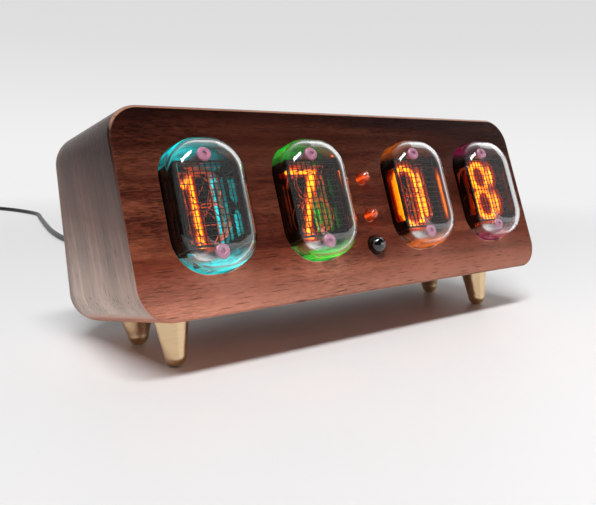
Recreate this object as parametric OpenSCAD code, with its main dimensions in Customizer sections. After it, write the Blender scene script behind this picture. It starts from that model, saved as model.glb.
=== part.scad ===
// Desk clock with four glow-discharge number tubes in a wooden case on four metal legs.
// Millimetres, +Z up. The origin is on the floor under the middle of the clock.
// The case frame lies along the underside; the face frame lies along the sloping front.

/* [Case] */
// Width of the case
case_w = 140; // [138:1:180]
// Height of the front face, measured up its slope
face_h = 50; // [49:1:62]
// Depth of the case along its underside
case_d = 50; // [49:1:64]
// Radius of the case's long edges
corner_r = 8; // [8:0.5:12]
// Radius of the edge round the back
back_r = 7; // [3:0.5:7.5]
// Thickness of the case's top, bottom and ends
wall_t = 6; // [5:0.5:6]
// Thickness of the front wall
front_wall = 6; // [5:0.5:8]
// How far the underside tips back from level, in degrees
tilt = 12; // [6:0.5:14]
// How far the face leans back from square to the underside, in degrees
slant = 9.5; // [6:0.5:10]
// Height of the case's lower front edge above the floor
front_z = 14.4; // [13:0.1:22]

/* [Legs] */
// Distance of the legs from the middle of the case
leg_x = 56; // [44:0.5:57]
// Distance of the front legs behind the lower front edge
front_leg_y = 15.5; // [10:0.5:22]
// Distance of the back legs behind the lower front edge
back_leg_y = 36; // [30:0.5:40]
// Diameter of a leg at the case
leg_top_d = 8.4; // [6:0.2:11]
// Diameter of a leg's round end
leg_tip_d = 5.4; // [4:0.2:6]

/* [Tubes] */
// Width of a tube's glass
tube_w = 20; // [17.5:0.5:22]
// Height of a tube's glass
tube_h = 31; // [30:0.5:32]
// Length of a tube's glass, front to back
tube_len = 26; // [25:0.5:28]
// How far the glass stands out of the face
tube_out = 7.8; // [7:0.2:10]
// Radius of the glass's upright corners
tube_r = 8.6; // [6:0.2:9]
// Radius of the glass's front rim
rim_r = 5; // [2:0.5:6]
// Thickness of the glass
glass_t = 1; // [0.8:0.1:1.2]
// Height of the tubes' middle up the face
tube_z = 25.4; // [25:0.2:27]
// Distance between the middles of two tubes of a pair
tube_pitch = 31; // [25:0.5:31.5]
// Distance between the middles of the two inner tubes
pair_gap = 37.5; // [36:0.5:42]
// Height of a digit
digit_h = 18; // [15:0.5:18]
// Width of a digit
digit_w = 9.6; // [8:0.2:11.5]

/* [Cord] */
// Diameter of the power cord
cord_d = 2.6; // [2.2:0.1:3.4]
// Turns in each layer of the coil
coil_turns = 5; // [2:1:5]

/* [Hidden] */
$fn = 48;
eps = 0.01;

// --- case, derived -------------------------------------------------------------------------
section_h = face_h * cos(slant);          // height of the case square to its underside
lean = tilt + slant;                      // how far the face leans back from upright
case_mid = section_h / 2;
pocket_w = case_w - 2 * wall_t;
pocket_h = section_h - 2 * wall_t;
pocket_r = 3.2;
cover_t = 3;
cover_gap = 0.2;
cover_y = case_d - cover_t;               // inner side of the back cover
boss = 6;                                 // wood left in the pocket's corners for the screws
boss_y = 35;                              // front end of that wood
screw_d = 2.2;                            // cover screws
screw_head_d = 4;
screw_head_t = 1.4;
screw_in = 7;                             // how far a cover screw goes into the wood
cross_l = 2.8;                            // the cross in a screw's head
cross_w = 0.6;
cross_deep = 0.6;
vent_d = 2.5;
vent_step = 10;
vent_z = section_h - wall_t - 7;

// --- tubes, derived ------------------------------------------------------------------------
tube_x = [-pair_gap / 2 - tube_pitch, -pair_gap / 2, pair_gap / 2, pair_gap / 2 + tube_pitch];
tube_back = tube_len - tube_out;          // back end of the glass behind the face
tube_gap = 0.25;                          // space round the glass in the face
base_t = 2;
pin_d = 1;
pin_x = 5.5;                              // half axes of the oval of pins
pin_z = 9;
pin_count = 12;
pin_out = 3.5;
digit_order = [3, 8, 9, 4, 0, 5, 7, 2, 6, 1];   // front to back in every tube
first_digit_y = -1.8;                     // front of the stack, minus is before the face
digit_pitch = 0.72;
plate_t = 0.2;
stroke = 0.55;                            // width of a digit's line
rod_z = 11.4;                             // the two ceramic rods above and below the digits
rod_d = 1.2;
collar_d = 2.4;
cap_d = 3.6;
cap_hole_d = 1;
cap_y = -4;                               // front of the rods' caps
mesh_y = -3;                              // the anode's mesh
mesh_t = 0.25;
mesh_wire = 0.16;
mesh_step = 1.5;
anode_w = tube_w - 4.8;
anode_h = 20.2;
anode_rim = 0.6;
anode_t = 0.4;
mesh_cols = floor((anode_w / 2 - anode_rim) / mesh_step);
mesh_rows = floor((anode_h / 2 - anode_rim) / mesh_step);
tab_d = 5;                                // round tabs at the middle of the anode's sides
tab_y = 1.6;
tab_gap = 0.2;                            // between a tab and the glass
tab_out = tube_w / 2 - glass_t - anode_w / 2 - tab_gap;
rear_y = 6.2;                             // plate behind the digits
rear_t = 0.4;
window_rim = 0.4;                         // side openings of the anode: metal left at the tabs,
window_end = 2.5;                         // above and below them,
window_in = 1;                            // and how far they reach into the rear plate
window_spans = [[mesh_y + mesh_t + window_rim, tab_y - window_rim],
    [tab_y + anode_t + window_rim, rear_y + 1]];
rod_strap_w = 4;                          // the rear plate's strip that holds the rods
foot_d = 1;

// --- boards, derived -----------------------------------------------------------------------
socket_w = 15;
socket_h = 24;
socket_t = 4;
socket_r = 4;
led_w = 5;
led_t = 1.6;
led_lens_d = 4;
led_hole_d = 7.5;                         // lets the light through the socket
board_t = 1.6;
board_y = tube_back + socket_t;           // front of the display board
board_w = pocket_w - 8;
board_h = 31.6;
board_low = 10.9;                         // lower edge of the display board up the face
board_notch = 2.6;                        // cut out of each of its corners
standoff_x = (tube_x[2] + tube_x[3]) / 2;
standoff_z = 12;
standoff_af = 5.5;
stud_d = 2.5;
stud_in = 4;
shelf_z = wall_t + 3;                     // underside of the control board
shelf_y = 30;                             // front edge of the control board
shelf_end = cover_y - 0.5;
shelf_w = 114;
pillar_d = 5;
pillar_x = 53;
pillar_y = [33, 43.5];
m_screw_d = 2.5;
m_head_d = 4.5;
m_head_t = 1.6;
m_screw_in = 5;                           // how far a board screw goes into its standoff
jack_z = shelf_z + board_t + 6;           // height of the jack's and the buttons' middles
jack_w = 9;
jack_nose_d = 8;
jack_l = 13.5;
jack_h = 10.5;
jack_bore_d = 5.7;
jack_bore = 10;
jack_pin_d = 2;
button_x = [18, 30, 42];
button_d = 3.5;
button_flange_d = 5.4;
button_out = 1.2;
button_travel = 0.5;
button_gap = 0.05;
switch_w = 6;
switch_y = 41.6;
switch_end = 45.2;
switch_over = 3;                          // how far a switch stands over its button's middle
chip_leg = 0.35;
chip_leg_out = 0.8;
chip_at = [15, 35];                       // places on the control board, across and back
capacitor_at = [-18, 38.5];
inductor_at = [-30, 38.5];
battery_at = [-42.7, 38];
capacitor_d = 8;
capacitor_h = 14;
inductor_d = 10;
inductor_h = 7;
coil_core_d = 7;
flange_t = 2;
battery_d = 12.5;
battery_t = 2;
holder_h = 3.4;
holder_floor = 1;
header_pins = 8;                          // from the control board to the display board
header_step = 2.54;
header_w = 2.5;
header_pin_d = 0.64;

// --- lamps and sensor ----------------------------------------------------------------------
lamp_z = [31, 20.5];
lamp_d = 3;
lamp_out = 3.2;
lamp_len = 10;
lamp_gap = 0.1;
lamp_wall = 0.4;
lamp_pinch = 2;                           // solid glass at the back end, round the leads
lead_d = 0.5;
lead_x = 0.6;                             // half the space between a lamp's leads
sensor_z = 12.2;
sensor_d = 5;
sensor_out = 3;
sensor_rim = 0.6;                         // flange behind the front wall
sensor_lead_x = 1.27;

// --- where the clock stands ----------------------------------------------------------------
tube_low = tube_z - tube_h / 2;
nearest_y = (tube_low + rim_r) * sin(lean) - (tube_out - rim_r) * cos(lean) - rim_r;
furthest_y = (case_d - back_r) * cos(tilt) + (section_h - back_r) * sin(tilt) + back_r;
front_y = -(nearest_y + furthest_y) / 2;  // lower front edge, seen from the origin

leg_flat = 0.25;                          // worn flat on each leg's round end
leg_stud_d = 4;
leg_stud = 5;
insert_d = 6;
legs = [[-leg_x, front_leg_y], [leg_x, front_leg_y], [-leg_x, back_leg_y], [leg_x, back_leg_y]];

// --- cord route, points chosen by hand -----------------------------------------------------
plug_grip_d = 9.5;
plug_grip = 12;
plug_relief = 6;
plug_relief_d = 6;
barrel_d = 5.5;
barrel_bore_d = 2.5;
barrel = 9;
cord_r = cord_d / 2;
exit_y = case_d + plug_grip + plug_relief;
exit_point = [0, front_y + exit_y * cos(tilt) + jack_z * sin(tilt),
    front_z - exit_y * sin(tilt) + jack_z * cos(tilt)];
exit_way = [0, cos(tilt), -sin(tilt)];
cord_route = concat(
    [exit_point, exit_point + cord_d * exit_way, exit_point + 3 * cord_d * exit_way],
    [[-1, 66, 7], [-3, 78, 3.6], [-5, 92, cord_r], [-9, 120, cord_r], [-13, 155, cord_r],
    [-14, 190, cord_r], [-11, 220, cord_r], [-5, 252, cord_r], [2, 285, cord_r],
    [7, 312, cord_r], [2, 340, cord_r], [-5, 358, cord_r], [-10.6, 370, cord_r],
    [-12, 377, cord_r], [-12, 381, cord_r], [-12, 385, cord_r]]);
route_steps = 3;                          // rings between two points of the route
coil_start = [-12, 385];
coil_in_r = 10;                           // innermost turn
turn_gap = 0.5;
coil_step = cord_d + turn_gap;            // from one turn to the next, across and up
coil_rings = 24;
coil_out_r = coil_in_r + coil_step * coil_turns;
coil_centre = coil_start + [-coil_out_r, cord_d];
usb_w = 12;
usb_h = 8.5;
usb_grip = 20;
usb_shell_h = 4.5;
usb_shell = 12;
usb_shell_t = 0.3;
usb_rim = 1.5;                            // how far the grip stands out round the shell
tail_flat = 12;                           // the cord runs on over the coil this far
tail = 34;                                // from the coil to the plug at the far end
usb_y = coil_centre[1] + tail;

// --- frames and shapes ---------------------------------------------------------------------
module case_frame() translate([0, front_y, front_z]) rotate([-tilt, 0, 0]) children();
module face_frame() case_frame() rotate([-slant, 0, 0]) children();
module at_tube(i) face_frame() translate([tube_x[i], 0, tube_z]) children();

// Flat shape in X and Z, given thickness from y0 to y1
module slab(y0, y1) translate([0, y1, 0]) rotate([90, 0, 0]) linear_extrude(y1 - y0) children();

module round_rect(w, h, r) {
    if (w > 2 * r) square([w - 2 * r, h], center = true);
    if (h > 2 * r) square([w, h - 2 * r], center = true);
    for (x = [-1, 1], y = [-1, 1])
        translate([x * (w / 2 - r), y * (h / 2 - r)]) circle(r);
}

// Round rod along Y from y0 to y1
module rod(d, y0, y1) translate([0, y0, 0]) rotate([-90, 0, 0]) cylinder(d = d, h = y1 - y0);

// Outline of a bar whose far end has two rounded corners; x runs along the bar
module end_profile(half, length, r) {
    translate([0, -half]) square([length - r, 2 * half]);
    translate([0, r - half]) square([length, 2 * (half - r)]);
    for (s = [-1, 1]) translate([length - r, s * (half - r)]) circle(r);
}

module corner_profile(r_long, length, r_end) {
    square([r_long - r_end, length]);
    square([r_long, length - r_end]);
    intersection() {
        translate([r_long - r_end, length - r_end]) circle(r_end);
        square([r_long, length]);
    }
}

// Block along +Y: long edges of radius r_long, the edge round its far end of radius r_end
module rounded_block(w, h, length, r_long, r_end) {
    for (x = [-1, 1], z = [-1, 1])
        translate([x * (w / 2 - r_long), 0, z * (h / 2 - r_long)])
            rotate([-90, 0, 0]) rotate_extrude() corner_profile(r_long, length, r_end);
    translate([-(w / 2 - r_long), 0, 0]) rotate([90, 0, 90])
        linear_extrude(w - 2 * r_long) end_profile(h / 2, length, r_end);
    translate([0, 0, -(h / 2 - r_long)]) linear_extrude(h - 2 * r_long)
        rotate(90) end_profile(w / 2, length, r_end);
}

// --- case ----------------------------------------------------------------------------------
module case_pocket() {
    intersection() {
        translate([0, 0, case_mid]) slab(-case_d, case_d + 1)
            round_rect(pocket_w, pocket_h, pocket_r);
        rotate([-slant, 0, 0]) translate([-case_w, front_wall, -case_w])
            cube([2 * case_w, 2 * case_d, 3 * case_w]);
    }
}

module corner_bosses() {
    for (x = [-1, 1], z = [-1, 1])
        translate([x * (pocket_w - boss + 1) / 2, 0, case_mid + z * (pocket_h - boss + 1) / 2])
            slab(boss_y, cover_y) square(boss + 1, center = true);
}

module screw_places() {
    for (x = [-1, 1], z = [-1, 1])
        translate([x * (pocket_w - boss) / 2, 0, case_mid + z * (pocket_h - boss) / 2]) children();
}

module standoff_places() {
    for (x = [-1, 1], z = [-1, 1])
        translate([x * standoff_x, 0, tube_z + z * standoff_z]) children();
}

module case() color("#6b3a2a") case_frame() difference() {
    union() {
        difference() {
            translate([0, 0, case_mid])
                rounded_block(case_w, section_h, case_d, corner_r, back_r);
            rotate([-slant, 0, 0]) translate([-case_w, -2 * case_d, -case_w])
                cube([2 * case_w, 2 * case_d, 3 * case_w]);
            case_pocket();
        }
        corner_bosses();
    }
    rotate([-slant, 0, 0]) {
        for (x = tube_x) translate([x, 0, tube_z]) slab(-1, front_wall + 1)
            round_rect(tube_w + 2 * tube_gap, tube_h + 2 * tube_gap, tube_r + tube_gap);
        for (z = lamp_z) translate([0, 0, z]) rod(lamp_d + 2 * lamp_gap, -1, front_wall + 1);
        translate([0, 0, sensor_z]) rod(sensor_d + 2 * lamp_gap, -1, front_wall + 1);
        standoff_places() rod(stud_d, front_wall - stud_in, front_wall + 1);
    }
    screw_places() rod(screw_d, cover_y - screw_in, cover_y + 1);
    for (p = legs) translate([p[0], p[1], -1]) cylinder(d = insert_d, h = leg_stud + 1);
    for (x = [-1, 1], y = pillar_y)
        translate([x * pillar_x, y, wall_t - stud_in]) cylinder(d = m_screw_d, h = stud_in + 1);
}

module back_cover() color("#1a1a1c") case_frame() difference() {
    translate([0, 0, case_mid]) slab(cover_y, case_d)
        round_rect(pocket_w - 2 * cover_gap, pocket_h - 2 * cover_gap, pocket_r - cover_gap);
    screw_places() {
        rod(screw_d + 0.2, cover_y - 1, case_d + 1);
        rod(screw_head_d + 0.4, case_d - screw_head_t, case_d + 1);
    }
    translate([0, 0, jack_z]) rod(jack_nose_d + 0.4, cover_y - 1, case_d + 1);
    for (x = button_x) translate([x, 0, jack_z])
        rod(button_d + 2 * button_gap, cover_y - 1, case_d + 1);
    for (i = [-4 : 4]) translate([i * vent_step, 0, vent_z])
        rod(vent_d, cover_y - 1, case_d + 1);
}

module cover_screws() color("#2b2b2d") case_frame() screw_places() {
    rod(screw_d, cover_y - screw_in, case_d - screw_head_t);
    difference() {
        rod(screw_head_d, case_d - screw_head_t, case_d);
        translate([0, case_d, 0]) cube([cross_w, 2 * cross_deep, cross_l], center = true);
        translate([0, case_d, 0]) cube([cross_l, 2 * cross_deep, cross_w], center = true);
    }
}

// --- legs ----------------------------------------------------------------------------------
module leg(p) color("#b08d57") difference() {
    reach = (front_z - p[1] * sin(tilt) - leg_tip_d / 2 + leg_flat) / cos(tilt);
    case_frame() translate([p[0], p[1], 0]) {
        translate([0, 0, -reach]) cylinder(d1 = leg_tip_d, d2 = leg_top_d, h = reach);
        translate([0, 0, -reach]) sphere(d = leg_tip_d);
        cylinder(d = leg_stud_d, h = leg_stud - 0.2);
    }
    translate([-case_w, -case_w, -10]) cube([2 * case_w, 2 * case_w, 10]);
}

module leg_inserts() color("#c9a86a") case_frame() for (p = legs)
    translate([p[0], p[1], 0]) difference() {
        cylinder(d = insert_d, h = leg_stud);
        translate([0, 0, -1]) cylinder(d = leg_stud_d, h = leg_stud + 2);
    }

// --- tubes ---------------------------------------------------------------------------------
module tube_glass(i) color("#cfe6ea", 0.4) at_tube(i)
    translate([0, tube_back, 0]) mirror([0, 1, 0]) difference() {
        rounded_block(tube_w, tube_h, tube_len, tube_r, rim_r);
        translate([0, -glass_t, 0]) rounded_block(tube_w - 2 * glass_t, tube_h - 2 * glass_t,
            tube_len, tube_r - glass_t, rim_r - glass_t);
    }

module pin_places() {
    for (k = [0 : pin_count - 1]) let (a = 360 * (k + 0.5) / pin_count)
        translate([pin_x * cos(a), 0, pin_z * sin(a)]) children();
}

module tube_base(i) color("#9fb4b8") at_tube(i) difference() {
    slab(tube_back - base_t, tube_back) round_rect(tube_w - 2 * glass_t, tube_h - 2 * glass_t,
        tube_r - glass_t);
    pin_places() rod(pin_d, tube_back - base_t - 1, tube_back + 1);
}

module tube_pins() color("#b9b9bd") for (i = [0 : 3]) at_tube(i)
    pin_places() rod(pin_d, tube_back - base_t, tube_back + pin_out);

// Openings that leave the anode's sides clear before and behind the tabs
module anode_windows() for (s = [-1, 1], y = window_spans)
    translate([s * anode_w / 2 - window_in, y[0], window_end - anode_h / 2])
        cube([2 * window_in, y[1] - y[0], anode_h - 2 * window_end]);

// Mesh before the digits, plate behind them, two sides with a half-round tab, and four feet
module tube_anode(i) color("#4a4744") at_tube(i) {
    slab(mesh_y, mesh_y + mesh_t) {
        difference() {
            square([anode_w, anode_h], center = true);
            square([anode_w - 2 * anode_rim, anode_h - 2 * anode_rim], center = true);
        }
        for (k = [-mesh_cols : mesh_cols]) translate([k * mesh_step, 0])
            square([mesh_wire, anode_h - anode_rim], center = true);
        for (k = [-mesh_rows : mesh_rows]) translate([0, k * mesh_step])
            square([anode_w - anode_rim, mesh_wire], center = true);
    }
    difference() {
        slab(rear_y, rear_y + rear_t) union() {
            square([anode_w, anode_h], center = true);
            square([rod_strap_w, 2 * rod_z + collar_d + 0.6], center = true);
        }
        for (z = [-1, 1]) translate([0, 0, z * rod_z]) rod(rod_d, rear_y - 1, rear_y + 1);
        anode_windows();
    }
    for (s = [-1, 1]) {
        difference() {
            translate([s * (anode_w - anode_t) / 2 - anode_t / 2, mesh_y, -anode_h / 2])
                cube([anode_t, rear_y - mesh_y + rear_t, anode_h]);
            anode_windows();
        }
        intersection() {
            translate([s * (anode_w / 2 + tab_out - tab_d / 2), 0, 0])
                rod(tab_d, tab_y, tab_y + anode_t);
            translate([s * (anode_w - anode_t + tab_d) / 2, tab_y, 0]) cube(tab_d, center = true);
        }
        for (z = [-1, 1]) translate([s * (anode_w / 2 - 1), 0, z * (anode_h / 2 - 1)])
            rod(foot_d, rear_y, tube_back - base_t);
    }
}

module bar(a, b) {
    d = b - a;
    translate(a) rotate(atan2(d[1], d[0])) translate([0, -stroke / 2]) square([norm(d), stroke]);
    translate(a) circle(d = stroke, $fn = 24);
    translate(b) circle(d = stroke, $fn = 24);
}

// Part of a ring about c, from angle a0 round to a1 (under 270 degrees on)
module arc(c, r, a0, a1) translate(c) intersection() {
    difference() {
        circle(r + stroke / 2);
        circle(r - stroke / 2);
    }
    polygon(concat([[0, 0]], [for (k = [0 : 3]) let (a = a0 + (a1 - a0) * k / 3)
        3 * r * [cos(a), sin(a)]]));
}

module loop(w, h, r) difference() {
    round_rect(w + stroke, h + stroke, r + stroke / 2);
    round_rect(w - stroke, h - stroke, r - stroke / 2);
}

// One digit's wire shape, its lines digit_h high and digit_w wide over all
module digit(n) {
    w = digit_w - stroke;
    h = digit_h - stroke;
    r = w / 2;                            // round ends take the full width
    up = h / 2 - r;                       // middles of the upper and lower bows
    q = h / 4;
    if (n == 0) loop(w, h, r);
    if (n == 1) {
        bar([0, -h / 2], [0, h / 2]);
        bar([0, h / 2], [-2.4, h / 2 - 2.4]);
    }
    if (n == 2) {
        arc([0, up], r, -30, 180);
        bar([r * cos(30), up - r / 2], [-r, -h / 2]);
        bar([-r, -h / 2], [r, -h / 2]);
    }
    if (n == 3) {
        bar([-r, h / 2], [r, h / 2]);
        bar([r, h / 2], [0, -h / 2 + 2 * r]);
        arc([0, -up], r, -170, 90);
    }
    if (n == 4) {
        bar([r / 2, -h / 2], [r / 2, h / 2]);
        bar([r / 2, h / 2], [-r, -q]);
        bar([-r, -q], [r, -q]);
        bar([0, h / 2], [r / 2, h / 2]);
        bar([0, -h / 2], [r / 2, -h / 2]);
    }
    if (n == 5) {
        bar([r, h / 2], [-r, h / 2]);
        bar([-r, h / 2], [r * cos(143), -up + r * sin(143)]);
        arc([0, -up], r, -170, 143);
    }
    if (n == 6 || n == 9) rotate(n == 6 ? 0 : 180) {
        translate([0, -up]) loop(w, 2 * r, r);
        bar([-r, -up], [-r, up]);
        arc([0, up], r, 60, 180);
    }
    if (n == 7) {
        bar([-r, h / 2], [r, h / 2]);
        bar([r, h / 2], [-1.4, -h / 2]);
        bar([-1.4, -h / 2], [0, -h / 2]);
    }
    if (n == 8) {
        small = (h - 2 * r) / 2;          // the upper loop fills what the lower one leaves
        translate([0, -up]) loop(w, 2 * r, r);
        translate([0, h / 2 - small]) loop(2 * small, 2 * small, small);
    }
}

// Ears hold a digit on the two rods
module ears() difference() {
    for (s = [-1, 1]) translate([0, s * (digit_h / 2 + rod_z) / 2]) union() {
        square([stroke, rod_z - digit_h / 2 + stroke], center = true);
        translate([0, s * (rod_z - digit_h / 2) / 2]) circle(d = collar_d);
    }
    for (s = [-1, 1]) translate([0, s * rod_z]) circle(d = rod_d);
}

module tube_cathodes(i) color("#c8703a") at_tube(i) for (k = [0 : 9])
    let (y = first_digit_y + k * digit_pitch) slab(y, y + plate_t) {
        digit(digit_order[k]);
        ears();
    }

// Ceramic rods with a collar before, between and behind the digits and a cap in front
module tube_spacers(i) color("#c79aa6") at_tube(i) for (s = [-1, 1])
    translate([0, 0, s * rod_z]) {
        rod(rod_d, cap_y, rear_y + rear_t);
        difference() {
            rod(cap_d, cap_y, cap_y + 1);
            rod(cap_hole_d, cap_y - 1, cap_y + 0.5);
        }
        rod(collar_d, cap_y + 1 - eps, first_digit_y);
        for (k = [0 : 8]) let (y = first_digit_y + k * digit_pitch + plate_t)
            rod(collar_d, y, y + digit_pitch - plate_t);
        rod(collar_d, first_digit_y + 9 * digit_pitch + plate_t, rear_y);
    }

module socket(i) color("#202022") at_tube(i) difference() {
    slab(tube_back, board_y) round_rect(socket_w, socket_h, socket_r);
    rod(led_hole_d, tube_back - 1, board_y + 1);
    pin_places() rod(pin_d + 0.1, tube_back - 1, board_y + 1);
}

module backlight_leds() color("#e8e8e0") for (i = [0 : 3]) at_tube(i)
    translate([-led_w / 2, board_y - led_t, -led_w / 2]) difference() {
        cube([led_w, led_t, led_w]);
        translate([led_w / 2, 0, led_w / 2]) rod(led_lens_d, -1, 0.5);
    }

// --- lamps and sensor ----------------------------------------------------------------------
module lamp_glass(z) color("#f0d8c8", 0.5) face_frame() translate([0, 0, z]) {
    r = lamp_d / 2;
    difference() {
        union() {
            rod(lamp_d, r - lamp_out, lamp_len - lamp_out);
            translate([0, r - lamp_out, 0]) sphere(r);
        }
        rod(lamp_d - 2 * lamp_wall, r - lamp_out, lamp_len - lamp_out - lamp_pinch);
        translate([0, r - lamp_out, 0]) sphere(r - lamp_wall);
        for (s = [-1, 1]) translate([s * lead_x, 0, 0])
            rod(lead_d, lamp_len - lamp_out - lamp_pinch - 1, lamp_len - lamp_out + 1);
    }
}

module lamp_electrodes() color("#d9772e") face_frame() for (z = lamp_z, s = [-1, 1])
    translate([s * lead_x, 0, z]) rod(lead_d, 1 - lamp_out, board_y);

module light_sensor() color("#0c0c0e") face_frame() translate([0, 0, sensor_z]) difference() {
    union() {
        rod(sensor_d, sensor_d / 2 - sensor_out, front_wall + 2);
        translate([0, sensor_d / 2 - sensor_out, 0]) sphere(d = sensor_d);
        rod(sensor_d + 2 * sensor_rim, front_wall, front_wall + 1);
    }
    for (s = [-1, 1]) translate([s * sensor_lead_x, 0, 0])
        rod(lead_d, front_wall, front_wall + 3);
}

module sensor_leads() color("#b9b9bd") face_frame() for (s = [-1, 1])
    translate([s * sensor_lead_x, 0, sensor_z]) rod(lead_d, front_wall, board_y);

// --- boards --------------------------------------------------------------------------------
module display_board() color("#14241c") face_frame() difference() {
    translate([0, 0, board_low + board_h / 2]) slab(board_y, board_y + board_t) difference() {
        square([board_w, board_h], center = true);
        for (x = [-1, 1], z = [-1, 1]) translate([x * board_w / 2, z * board_h / 2])
            square(2 * board_notch, center = true);
    }
    standoff_places() rod(m_screw_d + 0.2, board_y - 1, board_y + board_t + 1);
}

module board_standoffs() color("#c9a86a") face_frame() standoff_places() difference() {
    union() {
        translate([0, board_y, 0]) rotate([90, 0, 0])
            cylinder(d = standoff_af / cos(30), h = board_y - front_wall, $fn = 6);
        rod(stud_d, front_wall - stud_in, front_wall + 1);
    }
    rod(m_screw_d, board_y - m_screw_in - 0.5, board_y + 1);
}

// Pan head on a shank; the head's underside is at y = 0 and the shank runs to -length
module machine_screw(length) {
    rod(m_screw_d, -length, eps);
    difference() {
        rod(m_head_d, 0, m_head_t);
        translate([0, m_head_t, 0]) cube([0.7, 1.4, 3], center = true);
    }
}

module board_screws() color("#b9b9bd") {
    face_frame() standoff_places() translate([0, board_y + board_t, 0])
        machine_screw(board_t + m_screw_in);
    case_frame() for (x = [-1, 1], y = pillar_y)
        translate([x * pillar_x, y, shelf_z + board_t]) rotate([90, 0, 0])
            machine_screw(board_t + shelf_z - wall_t + stud_in);
}

// Chip lying in X and Y, its legs on z = 0 along the front and the back
module chip(w, d, h, legs_a_side, leg_step) {
    translate([-w / 2, -d / 2, 0.2]) cube([w, d, h - 0.2]);
    for (k = [0 : legs_a_side - 1])
        translate([(k - (legs_a_side - 1) / 2) * leg_step - chip_leg / 2, -d / 2 - chip_leg_out, 0])
            cube([chip_leg, d + 2 * chip_leg_out, h / 2]);
}

module driver_chips() color("#1c1c1e") for (i = [0 : 3]) at_tube(i)
    translate([0, board_y + board_t, 0]) rotate([-90, 0, 0]) chip(10, 6, 2, 8, 1.27);

module control_board() color("#14241c") case_frame() difference() {
    translate([-shelf_w / 2, shelf_y, shelf_z]) cube([shelf_w, shelf_end - shelf_y, board_t]);
    for (x = [-1, 1], y = pillar_y) translate([x * pillar_x, y, shelf_z - 1])
        cylinder(d = m_screw_d + 0.2, h = board_t + 2);
}

module board_pillars() color("#c9a86a") case_frame() for (x = [-1, 1], y = pillar_y)
    translate([x * pillar_x, y, wall_t]) difference() {
        cylinder(d = pillar_d, h = shelf_z - wall_t);
        translate([0, 0, -1]) cylinder(d = m_screw_d, h = shelf_z);
    }

// Pins run forward from the control board and end on the display board
module link_header() color("#2a2a2c") difference() {
    case_frame() translate([-header_pins * header_step / 2, shelf_y + 0.5, shelf_z + board_t]) {
        cube([header_pins * header_step, header_w, header_w]);
        for (k = [0.5 : header_pins]) translate([k * header_step, 1, header_w / 2])
            rod(header_pin_d, -8, 0);
    }
    face_frame() translate([-case_w, 0, 0]) cube([2 * case_w, board_y + board_t, face_h]);
}

module on_shelf(p) case_frame() translate([p[0], p[1], shelf_z + board_t]) children();

// Bobbin: two flanges on a wound core
module boost_inductor() color("#3a3a3c") on_shelf(inductor_at) {
    cylinder(d = coil_core_d, h = inductor_h);
    cylinder(d = inductor_d, h = flange_t);
    translate([0, 0, inductor_h - flange_t]) cylinder(d = inductor_d, h = flange_t);
}

module boost_capacitor() color("#27304a") on_shelf(capacitor_at) {
    cylinder(d = capacitor_d, h = capacitor_h);
    cylinder(d = capacitor_d + 0.6, h = 1.2);
}

module controller_chip() color("#1c1c1e") on_shelf(chip_at) chip(7, 7, 1.4, 7, 1);

module battery_holder() color("#202022") on_shelf(battery_at) difference() {
    translate([0, 0, holder_h / 2]) cube([battery_d + 0.5, battery_d + 1.5, holder_h], center = true);
    translate([0, 0, holder_floor]) cylinder(d = battery_d, h = holder_h);
}

module clock_battery() color("#c8c8cc") on_shelf(battery_at) translate([0, 0, holder_floor])
    cylinder(d = battery_d, h = battery_t);

module power_jack() color("#161618") case_frame() {
    difference() {
        union() {
            translate([-jack_w / 2, cover_y - jack_l, shelf_z + board_t])
                cube([jack_w, jack_l, jack_h]);
            translate([0, 0, jack_z]) rod(jack_nose_d, cover_y - 1, case_d);
        }
        translate([0, 0, jack_z]) rod(jack_bore_d, case_d - jack_bore, case_d + 1);
    }
    translate([0, 0, jack_z]) rod(jack_pin_d, case_d - jack_bore - 1, case_d - 1);
}

module switch_bodies() color("#2a2a2c") case_frame() for (x = button_x) difference() {
    translate([x - switch_w / 2, switch_y, shelf_z + board_t])
        cube([switch_w, switch_end - switch_y, jack_z - shelf_z - board_t + switch_over]);
    translate([x, 0, jack_z]) rod(button_d + 2 * button_gap, switch_end - 2.4, switch_end + 1);
}

module set_button(x) color("#8a8a8e") case_frame() translate([x, 0, jack_z]) {
    rod(button_d, switch_end - 1, case_d + button_out);
    rod(button_flange_d, cover_y - 1, cover_y - 0.2);
}

// --- cord ----------------------------------------------------------------------------------
function unit(v) = v / norm(v);
function way(p, i) = unit(i == 0 ? p[1] - p[0] : i == len(p) - 1 ? p[i] - p[i - 1] :
    unit(p[i + 1] - p[i]) + unit(p[i] - p[i - 1]));
function ring(c, t, r, n) = let (side = unit(cross([0, 0, 1], t)), up = cross(t, side))
    [for (k = [0 : n - 1]) let (a = 360 * (k + 0.5) / n) c + r * (cos(a) * side + sin(a) * up)];

// Smooth curve through the points of a route
function between(p, i, t) = let (a = p[max(i - 1, 0)], b = p[i], c = p[i + 1],
    d = p[min(i + 2, len(p) - 1)])
    0.5 * (2 * b + (c - a) * t + (2 * a - 5 * b + 4 * c - d) * t * t
        + (3 * b - a - 3 * c + d) * t * t * t);
function smooth(p) = concat([for (i = [0 : len(p) - 2], k = [0 : route_steps - 1])
    between(p, i, k / route_steps)], [p[len(p) - 1]]);

module swept_tube(path, r, n) {
    rings = [for (i = [0 : len(path) - 1]) each ring(path[i], way(path, i), r, n)];
    last = (len(path) - 1) * n;
    polyhedron(rings, concat([[for (k = [0 : n - 1]) k]],
        [for (i = [0 : len(path) - 2], k = [0 : n - 1]) let (b = i * n, j = (k + 1) % n)
            [b + k, b + n + k, b + n + j, b + j]],
        [[for (k = [n - 1 : -1 : 0]) last + k]]), convexity = 8);
}

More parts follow.
